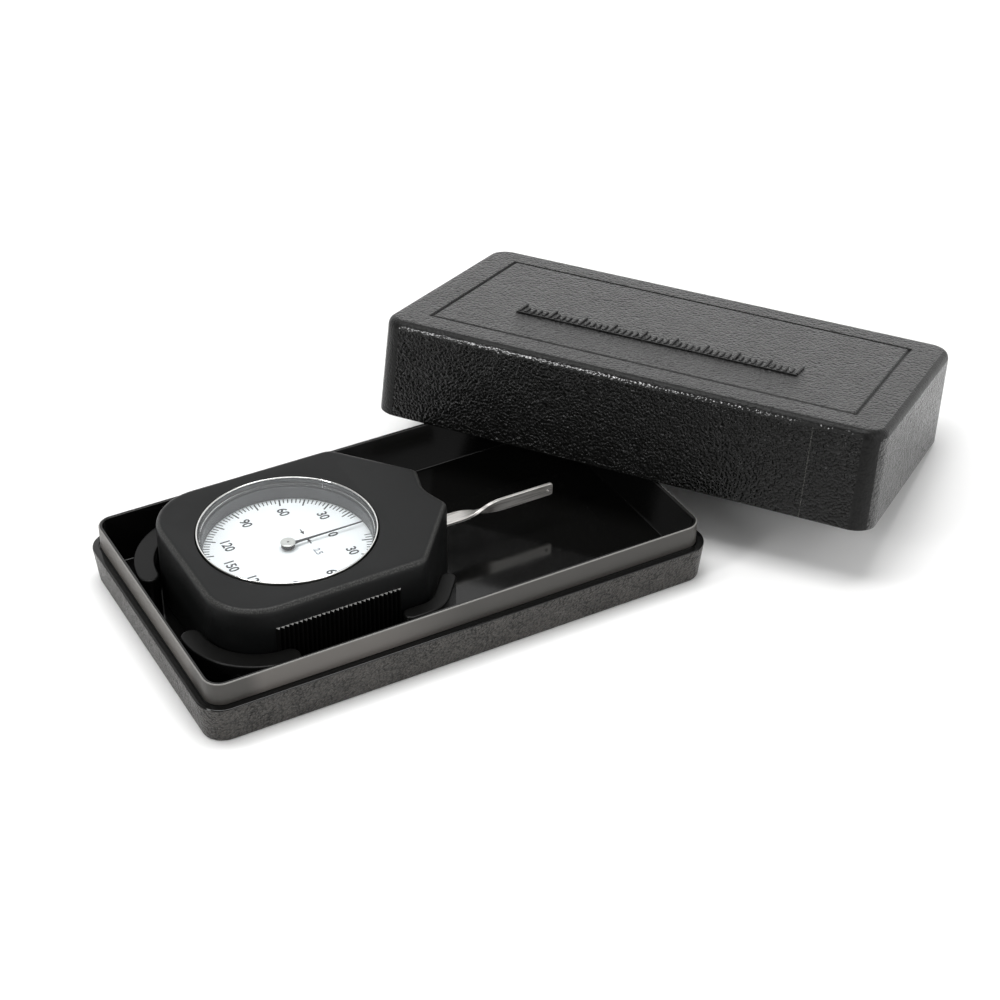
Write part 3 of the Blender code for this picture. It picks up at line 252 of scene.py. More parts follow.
def piece(name, mesh, materials, place=Matrix(), sharp_degrees=40):
    """An object from a bmesh in millimetres, put in its place in the object's frame."""
    bmesh.ops.transform(mesh, matrix=place @ Matrix.Scale(MM, 4), verts=mesh.verts)
    data = bpy.data.meshes.new(name)
    mesh.to_mesh(data)
    mesh.free()
    for material in materials:
        data.materials.append(material)
    data.shade_smooth()
    data.set_sharp_from_angle(angle=math.radians(sharp_degrees))
    thing = bpy.data.objects.new(name, data)
    bpy.context.scene.collection.objects.link(thing)
    return thing


def band(path, width, steps=10):
    """The outline of a strip along a path, with round ends."""
    left, right = [], []
    for index, spot in enumerate(path):
        way = path[min(index + 1, len(path) - 1)] - path[max(index - 1, 0)]
        across = Vector((-way.y, way.x)).normalized() * width / 2
        left.append(spot + across)
        right.append(spot - across)
    ends = []
    for spot, rim in ((path[-1], right[-1]), (path[0], left[0])):
        spins = [math.pi * step / steps for step in range(1, steps)]
        ends.append([spot + Matrix.Rotation(spin, 2) @ (rim - spot) for spin in spins])
    return right + ends[0] + left[::-1] + ends[1]


def pebbled(name, place_frame, colour, size_mm, depth_mm, roughness, specular):
    """Black moulded plastic with a grain of round pebbles, and the wires to change it."""
    material, shader, place = finish(name, colour, roughness, Specular_IOR_Level=specular)
    own = place.turned(*place_frame)
    shaken = own.moved(own.noise(size_mm * 1.6, 2, output="Color"), size_mm * 0.9)
    dent = shaken.cells(size_mm)
    patches = own.noise(size_mm * 6, 2).between(0.3, 0.7)
    height = 1 - dent * dent * (1.6 + patches * 1.2) + own.noise(size_mm * 0.4, 2) * 0.25
    # The pebbles' tops are painted lighter and their dents darker, mixed with a broad random tone:
    # painted highlight and shade of the grain.
    relief_shade_and_tone = (height + own.noise(14, 3) * 0.6).between(0.2, 1.4)
    feed(shader, Roughness=roughness + own.noise(9, 3) * 0.1, Normal=height.bump(depth_mm, 1.0))
    feed(shader, Base_Color=relief_shade_and_tone.blend([c * 0.5 for c in colour], [c * 1.5 for c in colour]))
    return material, shader, own


tray_length, tray_width, tray_corner = 150.0, 85.6, 7.0
ledge_height, rim_height, floor_height = 11.0, 17.56, 2.2
rim_outer, rim_inner = 2.3, 3.35
dial_x = -32.8
body_half, body_back, back_corner = 29.7, 30.2, 15.0
shoulder_x, nose_x, nose_half, hollow_x = 26.1, 43.2, 9.0, 40.6
body_corners = [
    (hollow_x, 0, 9.3),
    (nose_x, nose_half, 2.5),
    (shoulder_x, body_half, 5),
    (-body_back, body_half, back_corner),
    (-body_back, -body_half, back_corner),
    (shoulder_x, -body_half, 5),
    (nose_x, -nose_half, 2.5),
]
tray_section = (
    eased((2.0, 0.0), (1.12, 0.0), (1.1, 0.8), 4)
    + eased((0.04, 10.4), (0.0, 11.0), (0.6, 11.0), 6)
    + [(1.75, 11.0), (1.85, 10.7), (2.2, 10.62)]
    + eased((rim_outer, 10.7), (rim_outer, 10.8), (rim_outer, 11.0), 2)
    + eased((rim_outer, 17.2), (rim_outer, rim_height), (2.62, rim_height), 5)
    + eased((3.03, rim_height), (rim_inner, rim_height), (rim_inner, 17.2), 5)
    + eased((rim_inner, 2.7), (rim_inner, floor_height), (3.85, floor_height), 3)
    + [(4.6, floor_height)]
)
tray_outline = box_corners(tray_length, tray_width, tray_corner)
tray_mesh = loft([(rounded(tray_outline, inset), height) for inset, height in tray_section])
cradle_clearance, back_wall, front_wall = 1.25, 5.6, 4.4
reach = back_corner + cradle_clearance + back_wall / 2
turn_spot = Vector((back_corner - body_back, back_corner - body_half))
back_path, back_steps = [], 24
for step in range(back_steps + 1):
    angle = math.pi * (1 + step / (2 * back_steps))
    back_path.append(turn_spot + reach * Vector((math.cos(angle), math.sin(angle))))
corner_points = 13  # rounded gives this many to each corner, and the sixth is a shoulder
front_line = rounded(body_corners, -cradle_clearance - front_wall / 2)
shoulder = front_line[5 * corner_points : 6 * corner_points]
slant = Vector((nose_x - shoulder_x, body_half - nose_half)).normalized()
along_grip, along_nose = 4.0, 7.6
front_path = [shoulder[0] - Vector((along_grip, 0))] + shoulder
front_path.append(shoulder[-1] + slant * along_nose)
cradle_foot, cradle_top = 1.5, 14.0
cradle_section = (
    [(0.0, cradle_foot), (0.0, cradle_top - 0.7)]
    + eased((0.0, cradle_top - 0.6), (0.0, cradle_top), (0.6, cradle_top), 5)
    + [(0.8, cradle_top)]
)
for path, wall in ((back_path, back_wall), (front_path, front_wall)):
    for side in (1, -1):
        line = [Vector((spot.x + dial_x, spot.y * side)) for spot in path]
        rings = [(band(line, wall - 2 * inset), height) for inset, height in cradle_section]
        loft(rings, tray_mesh)
tray_frame = ((0, 0, 0),)
case_grain = pebbled("case_grain", tray_frame, (0.030, 0.0272, 0.0240), 0.74, 0.36, 0.28, 0.42)[0]
case_gloss, gloss_shader, gloss_place = finish(
    "case_gloss", (0.0042, 0.0042, 0.0040), 0.14, Specular_IOR_Level=0.38
)
scuffs = gloss_place.turned(scale=(6, 1, 1)).noise(2.2, 4).between(0.62, 0.78)
clouds = gloss_place.noise(24, 3).between(0.35, 0.75)
feed(gloss_shader, Roughness=0.08 + clouds * 0.06 + scuffs * 0.14)
waves = gloss_place.noise(30, 1) * 3 + gloss_place.noise(0.5, 2) * 0.05
feed(gloss_shader, Normal=waves.bump(0.02, 0.5))
case_satin, satin_shader, satin_place = finish(
    "case_satin", (0.100, 0.092, 0.084), 0.42, Specular_IOR_Level=0.42
)
draw_lines = satin_place.turned(scale=(1, 1, 14)).noise(0.9, 3)
feed(satin_shader, Roughness=0.36 + draw_lines * 0.09, Normal=draw_lines.bump(0.004, 0.5))
# The rim's face is painted lighter along its left half, short of the corner, than near the corner and on
# its right half: painted sheen, standing in for light it reflects.
sheen_fade_corner = Vector((-72.5, -40.5, 14.0)) * MM  # near this corner and on its right half the rim's face has no painted sheen
from_corner = satin_place.add(
    "ShaderNodeVectorMath", {"operation": "DISTANCE"}, {0: satin_place, 1: sheen_fade_corner}, "Value"
)
left_half = 1 - satin_place.axis("X").between(-30 * MM, 4 * MM)
bright = left_half * from_corner.between(9 * MM, 15 * MM)
feed(satin_shader, Base_Color=bright.blend((0.046, 0.043, 0.039), (0.106, 0.098, 0.090)))
# The top of the rim's lip is painted light grey: a painted highlight on the black plastic.
rim_painted_highlight, edge_shader, edge_place = finish("rim_painted_highlight", (0.19, 0.185, 0.175), 0.3)
feed(edge_shader, Roughness=0.24 + edge_place.noise(1.2, 3) * 0.2)
case_matt, matt_shader, matt_place = finish(
    "case_matt", (0.0040, 0.0040, 0.0038), 0.30, Specular_IOR_Level=0.16
)
feed(matt_shader, Roughness=0.26 + matt_place.noise(3, 3) * 0.12)
feed(matt_shader, Normal=matt_place.noise(0.4, 2).bump(0.006, 0.4))
for face in tray_mesh.faces:
    middle = face.calc_center_median()
    depth = depth_in(middle, tray_length, tray_width, tray_corner)
    outside = depth < rim_outer + 0.1
    if outside and middle.z < ledge_height - 0.3 and abs(face.normal.z) < 0.7:
        face.material_index = 0
    elif outside and ledge_height < middle.z < rim_height - 0.2 and abs(face.normal.z) < 0.5:
        face.material_index = 2
    elif depth < 2.6 and middle.z > rim_height - 0.2:
        face.material_index = 3
    elif depth > rim_inner + 0.25 and middle.z > cradle_top - 0.7:
        face.material_index = 4
    else:
        face.material_index = 0 if middle.z < 0.5 else 1
tray = piece("tray", tray_mesh, (case_grain, case_gloss, case_satin, rim_painted_highlight, case_matt))
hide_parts("case_tray")
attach(tray, "case_base")


# The case lid, a black moulded box with pebbled sides and a finer grained top. A grooved
# panel frames its top, and a plain raised scale stands in the panel. It was taken off and
# leans on the tray's rim.
lid_height, lid_turn = 29.0, math.radians(-53)
rest_gap, rest_inset = 0.3, 1.0  # how far the lid lies above the rim, and in from its own edge
lid_tilt = -math.asin((rim_height + rest_gap) / (1 - rest_inset / tray_width) / tray_width)
lid_edge = Vector((tray_length / 2 - 11.7, -7.2))
to_middle = Vector((0, tray_width / 2 * math.cos(lid_tilt)))
lid_middle = lid_edge + Matrix.Rotation(lid_turn, 2) @ to_middle
lid_spot = Vector((*lid_middle, -tray_width / 2 * math.sin(lid_tilt))) * MM
lid_spin = Matrix.Rotation(lid_turn, 3, "Z") @ Matrix.Rotation(lid_tilt, 3, "X")
lid_place = Matrix.LocRotScale(lid_spot, lid_spin, None)
panel_inset, panel_depth = 10.8, 0.65
groove_floor = lid_height - panel_depth
lid_section = (
    [(9.0, 27.0)]
    + eased((7.0, 27.0), (2.35, 27.0), (2.3, 23.8), 6)
    + [(1.9, 0.95)]
    + eased((1.1, 0.04), (1.0, 0.0), (0.8, 0.0), 2)
    + eased((0.45, 0.0), (0.06, 0.0), (0.05, 0.5), 4)
    + eased((0.45, 26.0), (0.47, lid_height), (3.3, lid_height), 10)
    + [(panel_inset - 0.4, lid_height), (panel_inset - 0.1, lid_height - 0.04)]
    + [(panel_inset + 0.25, groove_floor), (panel_inset + 0.7, groove_floor)]
    + [(panel_inset + 1.15, lid_height - 0.06), (panel_inset + 1.4, lid_height)]
    + [(panel_inset + 1.7, lid_height)]
)
lid_mesh = loft([(rounded(tray_outline, inset), height) for inset, height in lid_section])
lid_frame = (lid_spot, (lid_tilt, 0, lid_turn))
lid_grain, grain_shader, grain_place = pebbled(
    "lid_grain", lid_frame, (0.0034, 0.0034, 0.0031), 0.78, 0.22, 0.05, 0.23
)
seam_x, seam_half = 55 * MM, 0.14 * MM  # a light witness line of the mould on the lid's front
seam = grain_place.maths("COMPARE", grain_place.axis("X"), seam_x, seam_half)
seam *= grain_place.noise(0.5, 2).between(0.35, 0.6)
feed(grain_shader, Base_Color=seam.blend((0.0036, 0.0036, 0.0033), (0.06, 0.06, 0.055)))
# The lid's ends get a copy of the grain with a lighter colour and a stronger specular: painted sheen.
lid_end_sheen, lid_leather, lid_smooth, lid_fillet = (
    pebbled(name, lid_frame, *values)[0]
    for name, *values in (
        ("lid_end_sheen", (0.0070, 0.0070, 0.0065), 0.95, 0.40, 0.15, 0.66),
        ("lid_leather", (0.0085, 0.0085, 0.0083), 0.90, 0.38, 0.28, 0.50),
        ("lid_smooth", (0.0045, 0.0045, 0.0043), 0.60, 0.05, 0.34, 0.20),
        ("lid_fillet", (0.0045, 0.0045, 0.0042), 0.80, 0.045, 0.10, 0.62),
    )
)
fillet_low, fillet_high = 26.5, 27.8
end_reach, corner_reach = 1.5, 6.0
for face in lid_mesh.faces:
    middle = face.calc_center_median()
    depth = depth_in(middle, tray_length, tray_width, tray_corner)
    to_end = tray_length / 2 - abs(middle.x)
    if middle.z < 27 and depth > 0.95:
        face.material_index = 1
    elif middle.z > lid_height - 0.08 and depth < panel_inset - 0.2 or depth > panel_inset + 1.2:
        face.material_index = 2
    elif depth > panel_inset - 0.2:
        face.material_index = 3
    elif fillet_low < middle.z < fillet_high and to_end > corner_reach:
        face.material_index = 5
    elif middle.z > fillet_low:
        face.material_index = 3
    elif to_end < end_reach:
        face.material_index = 4
    elif to_end < corner_reach:
        face.material_index = 3
lid_finishes = (lid_grain, case_gloss, lid_leather, lid_smooth, lid_end_sheen, lid_fillet)
lid = piece("lid", lid_mesh, lid_finishes, lid_place)
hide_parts("case_lid")
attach(lid, "case_cover")


def grown(name, tree, values):
    """The plain mesh that a node tree makes, as a bmesh in millimetres."""
    bare = bpy.data.objects.new(name, bpy.data.meshes.new(name))
    bpy.context.scene.collection.objects.link(bare)
    modifier = bare.modifiers.new("Grow", "NODES")
    modifier.node_group = tree
    for item in tree.interface.items_tree:
        if item.item_type == "SOCKET" and item.name in values:
            modifier[item.identifier] = values[item.name]
    seen = bpy.context.evaluated_depsgraph_get()
    data = bpy.data.meshes.new_from_object(bare.evaluated_get(seen))
    bare.modifiers.clear()
    bpy.data.objects.remove(bare, do_unlink=True)
    mesh = bmesh.new()
    mesh.from_mesh(data)
    for face in mesh.faces:
        face.material_index = 0
    return mesh


def new_tree(name, **inputs):
    """A node tree with named inputs and the wires that carry them."""
    tree = bpy.data.node_groups.new(name, "GeometryNodeTree")
    wires = {}
    for label, kind in inputs.items():
        tree.interface.new_socket(label, in_out="INPUT", socket_type="NodeSocket" + kind)
    tree.interface.new_socket("Geometry", in_out="OUTPUT", socket_type="NodeSocketGeometry")
    source = tree.nodes.new("NodeGroupInput")
    for label in inputs:
        wires[label] = Wire(tree, source.outputs[label])
    return tree, wires


def close_tree(tree, instances, material):
    """Ends a tree in Realize Instances and Set Material."""
    real = instances.add("GeometryNodeRealizeInstances", {}, {"Geometry": instances})
    painted = real.add("GeometryNodeSetMaterial", {}, {"Geometry": real, "Material": material})
    end = tree.nodes.new("NodeGroupOutput")
    tree.links.new(painted.socket, end.inputs[0])


marks_tree, wire = new_tree(
    "raised_scale",
    Count="Int", Pitch="Float", Width="Float", Short="Float", Long="Float", Relief="Float",
)
row = wire["Count"].add("GeometryNodeMeshLine", {}, {"Count": wire["Count"], "Offset": (0, 0, 0)})
index = row.add("GeometryNodeInputIndex")
fifth = index.maths("LESS_THAN", index.maths("MODULO", index, 5), 0.5)
length = wire["Short"] + fifth * (wire["Long"] - wire["Short"])
across = (index - (wire["Count"] - 1) * 0.5) * wire["Pitch"]
spot = row.add("ShaderNodeCombineXYZ", {}, {"X": across, "Y": length * 0.5, "Z": 0.0})
moved = row.add("GeometryNodeSetPosition", {}, {"Geometry": row, "Position": spot})
thick = wire["Relief"] * 2
size = row.add("ShaderNodeCombineXYZ", {}, {"X": wire["Width"], "Y": length, "Z": thick})
bar = row.add("GeometryNodeMeshCube", {}, {"Size": (1, 1, 1)})
bars = row.add(
    "GeometryNodeInstanceOnPoints", {}, {"Points": moved, "Instance": bar, "Scale": size}
)
close_tree(marks_tree, bars, lid_smooth)
scale_values = {
    "Count": 46, "Pitch": 1.9, "Width": 0.75, "Short": 4.2, "Long": 7.0, "Relief": 0.5,
}
scale_mesh = grown("lid_scale", marks_tree, scale_values)
bmesh.ops.remove_doubles(scale_mesh, verts=scale_mesh.verts, dist=0.0001)
scale_foot = Matrix.LocRotScale((0, -0.9, 0), None, (86.3, 0.7, 1.0))
bmesh.ops.create_cube(scale_mesh, size=1, matrix=scale_foot)
bmesh.ops.bevel(scale_mesh, geom=scale_mesh.edges[:], offset=0.14, segments=2, affect="EDGES")
lid_scale_place = lid_place @ Matrix.Translation(Vector((-1.5, -12.0, lid_height)) * MM)
lid_scale = piece("lid_scale", scale_mesh, (lid_smooth,), lid_scale_place)
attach(lid_scale, "case_cover")


# The gauge's body, a thick moulded shell of matt dark grey plastic with soft edges. The
# dial's well is sunk in its top, the feeler leaves through a slot in the nose, and two
# rows of upright ribs give the fingers a grip.
gauge_frame = Matrix.Translation(Vector((dial_x, 0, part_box("gauge_housing")[0].z / MM)) * MM)
body_height, well_radius, shelf_height = 24.0, 24.35, 16.5
body_section = (
    [(0.5, 0.0)]
    + eased((0.45, 0.0), (0.0, 0.0), (0.0, 0.45), 3)
    + eased((0.0, body_height - 2.0), (0.0, body_height), (1.9, body_height), 8)
    + [(2.1, body_height)]
)


def cut_with(target, tools):
    """Cuts solids out of a bmesh and returns the result."""
    things = []
    for index, mesh in enumerate([target] + tools):
        data = bpy.data.meshes.new(f"work_{index}")
        mesh.to_mesh(data)
        mesh.free()
        thing = bpy.data.objects.new(f"work_{index}", data)
        bpy.context.scene.collection.objects.link(thing)
        things.append(thing)
    for tool in things[1:]:
        modifier = things[0].modifiers.new(tool.name, "BOOLEAN")
        modifier.operation = "DIFFERENCE"
        modifier.solver = "EXACT"
        modifier.object = tool
    bpy.context.view_layer.update()
    seen = bpy.context.evaluated_depsgraph_get()
    result = bmesh.new()
    result.from_mesh(things[0].evaluated_get(seen).to_mesh())
    for thing in things:
        bpy.data.objects.remove(thing, do_unlink=True)
    for face in result.faces:
        face.material_index = 0
    return result


def lathe(profile, sides=128, closed=False):
    """A turned skin from (radius, height) points, down the outer side."""
    mesh = bmesh.new()
    steps = [2 * math.pi * index / sides for index in range(sides)]
    loops = []
    for radius, height in profile:
        if radius == 0:
            loops.append([mesh.verts.new((0, 0, height))])
        else:
            places = [(radius * math.cos(a), radius * math.sin(a), height) for a in steps]
            loops.append([mesh.verts.new(place) for place in places])
    for upper, lower in zip(loops, loops[1:] + loops[: int(closed)]):
        for index in range(sides):
            ring = [loop[index - 1 if len(loop) > 1 else 0] for loop in (upper, lower)]
            if len(lower) > 1:
                ring.append(lower[index])
            if len(upper) > 1:
                ring.append(upper[index])
            if len(ring) > 2:
                mesh.faces.new(ring)
    bmesh.ops.recalc_face_normals(mesh, faces=mesh.faces)
    return mesh


body_wall, deck, cover_lip, cover_depth, overrun = 2.2, 1.3, 1.1, 2.3, 1.0
hollow_ring = rounded(body_corners, body_wall)
body_hollow = loft([(hollow_ring, -overrun), (hollow_ring, shelf_height - deck)])
seat_ring = rounded(body_corners, cover_lip)
cover_seat = loft([(seat_ring, -overrun), (seat_ring, cover_depth)])
well = lathe(
    [(0, 26.0), (well_radius + 0.5, 26.0), (well_radius + 0.5, body_height + 0.02)]
    + eased(
        (well_radius + 0.45, body_height),
        (well_radius, body_height),
        (well_radius, body_height - 0.45),
        4,
    )
    + [(well_radius, shelf_height), (21.8, shelf_height), (21.8, 14.0), (0, 14.0)]
)
slot_corners = [(48, -6.2, 0.5), (48, 6.2, 0.5), (37, 6.2, 0.5), (37, -6.2, 0.5)]
slot_low, slot_high = 9.85, 11.75
feeler_slot = loft([(rounded(slot_corners), slot_low), (rounded(slot_corners), slot_high)])
body_shell = loft([(rounded(body_corners, inset, 16), height) for inset, height in body_section])
body_mesh = cut_with(body_shell, [body_hollow, cover_seat, well, feeler_slot])
body_plastic, body_shader, body_place = finish(
    "body_plastic", (0.0042, 0.0045, 0.0046), 0.5, Specular_IOR_Level=0.21
)
mould_grain = body_place.noise(0.16, 2) * 0.6 + body_place.noise(0.5, 2) * 0.4
rubbed = body_place.noise(18, 3).between(0.35, 0.7)
# A band along the top edge's fillet is painted lighter and made smoother: the lighter colour is a painted
# highlight.
edge_height = body_place.axis("Z") - gauge_frame.translation.z
edge = edge_height.between(22.7 * MM, 23.4 * MM)
edge *= 1 - edge_height.between(23.80 * MM, 23.98 * MM)
edge_highlight = edge * (0.35 + body_place.noise(0.35, 2).between(0.45, 0.65) * 0.65)
feed(body_shader, Roughness=0.47 + rubbed * 0.09 - edge_highlight * 0.12)
feed(body_shader, Normal=mould_grain.bump(0.018, 0.6))
feed(body_shader, Base_Color=edge_highlight.blend((0.0042, 0.0045, 0.0046), (0.046, 0.046, 0.044)))
body = piece("body", body_mesh, (body_plastic,), gauge_frame, 50)
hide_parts("gauge_housing")
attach(body, "gauge_body")

rib_side, side_shader, side_place = finish(
    "rib_side", (0.0026, 0.0026, 0.0024), 0.6, Specular_IOR_Level=0.06
)
feed(side_shader, Roughness=0.55 + side_place.noise(0.4, 2) * 0.2)
rib_tree, wire = new_tree("grip_ribs", Count="Int", Pitch="Float", Depth="Float", Height="Float")
row = wire["Count"].add("GeometryNodeMeshLine", {}, {"Count": wire["Count"], "Offset": (0, 0, 0)})
index = row.add("GeometryNodeInputIndex")
spot = row.add("ShaderNodeCombineXYZ", {}, {"X": (index + 0.5) * wire["Pitch"], "Y": 0.0, "Z": 0.0})
moved = row.add("GeometryNodeSetPosition", {}, {"Geometry": row, "Position": spot})
bar = row.add("GeometryNodeMeshCylinder", {}, {"Vertices": 4, "Radius": 1.0, "Depth": 1.0})
rib_half = wire["Pitch"] * 0.46
size = row.add("ShaderNodeCombineXYZ", {}, {"X": rib_half, "Y": wire["Depth"], "Z": wire["Height"]})
ribs = row.add(
    "GeometryNodeInstanceOnPoints", {}, {"Points": moved, "Instance": bar, "Scale": size}
)
close_tree(rib_tree, ribs, rib_side)
grip_start, grip_length, grip_low, rib_count, rib_height = -17.0, 35.5, 2.5, 28, 15.3
rib_values = {
    "Count": rib_count, "Pitch": grip_length / rib_count, "Depth": 0.9, "Height": rib_height,
}
# The ribs' flat upper ends are painted light grey: a painted highlight where light from above catches
# them.
rib_tip_highlight, tip_shader, tip_place = finish("rib_tip_highlight", (0.30, 0.30, 0.29), 0.4)
feed(tip_shader, Roughness=0.35 + tip_place.noise(0.4, 2) * 0.2)
for name, side in (("grip_front", -1), ("grip_back", 1)):
    rib_mesh = grown(name, rib_tree, rib_values)
    for face in rib_mesh.faces:
        face.material_index = int(face.normal.z > 0.9)
    grip_spot = Vector((grip_start, body_half * side, grip_low + rib_height / 2))
    grip_place = gauge_frame @ Matrix.Translation(grip_spot * MM)
    grip = piece(name, rib_mesh, (rib_side, rib_tip_highlight), grip_place, 20)
    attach(grip, "gauge_body")


# The bezel, a turned and chromed brass ring pressed into the well. Its inner flange
# carries the crystal.
chrome, chrome_shader, chrome_place = finish("chrome", (0.80, 0.80, 0.78), 0.10, Metallic=1.0)
feed(chrome_shader, Roughness=0.07 + chrome_place.noise(3, 3) * 0.10)
bezel_mesh = lathe(
    [(24.05, 22.1), (23.05, 22.1), (23.05, 22.72), (23.14, 22.8), (23.6, 22.8), (23.65, 22.85)]
    + eased((23.65, 24.15), (23.67, 24.38), (23.82, 24.4), 4)
    + eased((23.9, 24.4), (24.05, 24.38), (24.05, 24.2), 4),
    160,
    closed=True,
)
inner_grey, inner_shader, inner_place = finish("bezel_inside", (0.085, 0.085, 0.085), 0.5)
feed(inner_shader, Roughness=0.45 + inner_place.noise(4, 3) * 0.1)
for face in bezel_mesh.faces:
    middle = face.calc_center_median()
    radius = math.hypot(middle.x, middle.y)
    face.material_index = int(radius < 23.66 and middle.z < 24.1 and not 23.06 < radius < 23.13)
bezel = piece("bezel", bezel_mesh, (chrome, inner_grey), gauge_frame, 35)
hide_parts("bezel_ring")
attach(bezel, "gauge_body")


# The crystal, a clear flat plastic disc with a small chamfer. It lies on the bezel's
# flange and covers the dial.
crystal_clear = bpy.data.materials.new("crystal_clear")
crystal_clear.use_nodes = True
crystal_tree = crystal_clear.node_tree
crystal_tree.nodes.remove(crystal_tree.nodes["Principled BSDF"])
sheer = Wire(crystal_tree).add("ShaderNodeBsdfTransparent", {}, {"Color": (0.97, 0.98, 0.985, 1)})
shine = sheer.add("ShaderNodeBsdfGlossy", {}, {"Color": (1, 1, 1, 1), "Roughness": 0.02})
mixed = sheer.add("ShaderNodeMixShader", {}, {0: 0.04, 1: sheer, 2: shine})
crystal_tree.links.new(mixed.socket, crystal_tree.nodes["Material Output"].inputs["Surface"])
disc_profile = [(0, 24.1), (23.2, 24.1), (23.35, 23.95), (23.35, 23.1), (0, 23.1)]
crystal_mesh = lathe(disc_profile, 160)
crystal = piece("crystal_disc", crystal_mesh, (crystal_clear,), gauge_frame, 30)
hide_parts("crystal")
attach(crystal, "gauge_body")


# The recess ring, a grey moulded wall that stands between the dial's edge and the bezel
# and sets the dial back under the crystal.
ring_grey, ring_shader, ring_place = finish("ring_grey", (0.062, 0.063, 0.065), 0.35)
feed(ring_shader, Normal=ring_place.noise(0.3, 2).bump(0.004, 0.5))
recess_profile = [(24.05, 21.8), (24.05, 18.1), (22.6, 18.1)]
recess_profile += eased((22.6, 21.6), (22.6, 21.8), (22.8, 21.8), 3)
recess_mesh = lathe(recess_profile, 160, closed=True)
recess = piece("recess_wall", recess_mesh, (ring_grey,), gauge_frame, 35)
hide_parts("recess_ring")
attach(recess, "gauge_body")


# The dial, a brass disc painted off-white and printed in black: a tick every three
# degrees, a long one every eighteen, and plain figures.
dial_top = 17.8
dial_white, dial_shader, dial_place = finish("dial_white", (0.93, 0.945, 0.945), 0.42)
feed(dial_shader, Normal=dial_place.noise(0.25, 2).bump(0.003, 0.5))
dial_low, dial_radius, dial_bore = 16.8, 24.05, 1.3
dial_profile = [(dial_radius, dial_top), (dial_radius, dial_low), (dial_bore, dial_low)]
dial_mesh = lathe(dial_profile + [(dial_bore, dial_top)], 160, closed=True)
dial = piece("dial", dial_mesh, (dial_white,), gauge_frame, 30)
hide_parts("dial_plate")
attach(dial, "gauge_body")
print_black, print_shader, print_place = finish(
    "print_black", (0.010, 0.011, 0.014), 0.5, Specular_IOR_Level=0.2
)
feed(print_shader, Roughness=0.42 + print_place.noise(0.4, 2) * 0.2)
print_grey, grey_shader, grey_place = finish("print_grey", (0.22, 0.23, 0.26), 0.5)
feed(grey_shader, Roughness=0.42 + grey_place.noise(0.4, 2) * 0.2)

tick_tree, wire = new_tree(
    "dial_ticks",
    Count="Int", First="Float", Step="Float",
    Outer="Float", Short="Float", Long="Float", Width="Float",
)
row = wire["Count"].add("GeometryNodeMeshLine", {}, {"Count": wire["Count"], "Offset": (0, 0, 0)})
index = row.add("GeometryNodeInputIndex")
angle = wire["First"] + index * wire["Step"]
sixth = index.maths("LESS_THAN", index.maths("MODULO", index + 4, 6), 0.5)
length = wire["Short"] + sixth * (wire["Long"] - wire["Short"])
radius = wire["Outer"] - length * 0.5
tick_x, tick_y = angle.maths("COSINE", angle) * radius, angle.maths("SINE", angle) * radius
spot = row.add("ShaderNodeCombineXYZ", {}, {"X": tick_x, "Y": tick_y})
moved = row.add("GeometryNodeSetPosition", {}, {"Geometry": row, "Position": spot})
turned = row.add("ShaderNodeCombineXYZ", {}, {"Z": angle})
width = wire["Width"] + sixth * (wire["Width"] * 0.4)
size = row.add("ShaderNodeCombineXYZ", {}, {"X": length, "Y": width, "Z": 0.05})
bar = row.add("GeometryNodeMeshCube", {}, {"Size": (1, 1, 1)})
inputs = {"Points": moved, "Instance": bar, "Rotation": turned, "Scale": size}
ticks = row.add("GeometryNodeInstanceOnPoints", {}, inputs)
close_tree(tick_tree, ticks, print_black)
tick_values = {
    "Count": 113, "First": math.radians(12), "Step": math.radians(3),
    "Outer": 22.6, "Short": 1.75, "Long": 2.9, "Width": 0.29,
}
tick_mesh = grown("dial_ticks", tick_tree, tick_values)
tick_place = gauge_frame @ Matrix.Translation((0, 0, dial_top * MM))
tick_marks = piece("dial_ticks", tick_mesh, (print_black,), tick_place, 30)
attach(tick_marks, "gauge_body")


def printed(name, words, x, y, height, material, stretch=0.88, weight=0.07):
    """Flat figures on the dial, upright towards the feeler."""
    curve = bpy.data.curves.new(name, "FONT")
    curve.body = words
    curve.align_x = "CENTER"
    curve.align_y = "CENTER"
    curve.size = height / 0.69
    curve.offset = weight
    curve.extrude = 0.02
    text = bpy.data.objects.new(name, curve)
    bpy.context.scene.collection.objects.link(text)
    bpy.context.view_layer.update()
    seen = bpy.context.evaluated_depsgraph_get()
    mesh = bmesh.new()
    mesh.from_mesh(bpy.data.meshes.new_from_object(text.evaluated_get(seen)))
    bpy.data.objects.remove(text, do_unlink=True)
    bmesh.ops.remove_doubles(mesh, verts=mesh.verts, dist=0.0005)
    bmesh.ops.scale(mesh, vec=(stretch, 1, 1), verts=mesh.verts)
    bmesh.ops.rotate(mesh, matrix=Matrix.Rotation(-math.pi / 2, 3, "Z"), verts=mesh.verts)
    bmesh.ops.translate(mesh, vec=(x, y, dial_top + 0.012), verts=mesh.verts)
    for face in mesh.faces:
        face.material_index = 0
    figure = piece(name, mesh, (material,), gauge_frame, 30)
    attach(figure, "gauge_body")


printed("figure_0", "0", 13.0, 0, 2.7, print_black)
printed("figure_150", "150", -16.5, 0, 2.7, print_black)
half_dial = (("30", 14.4, 9.1), ("60", 5.5, 15.7), ("90", -5.5, 15.7), ("120", -13.9, 8.8))
for side, letter in ((1, "a"), (-1, "b")):
    for words, x, y in half_dial:
        printed(f"figure_{words}{letter}", words, x, y * side, 2.7, print_black)
printed("figure_step", "2.5", 6.3, -5.1, 1.8, print_grey)

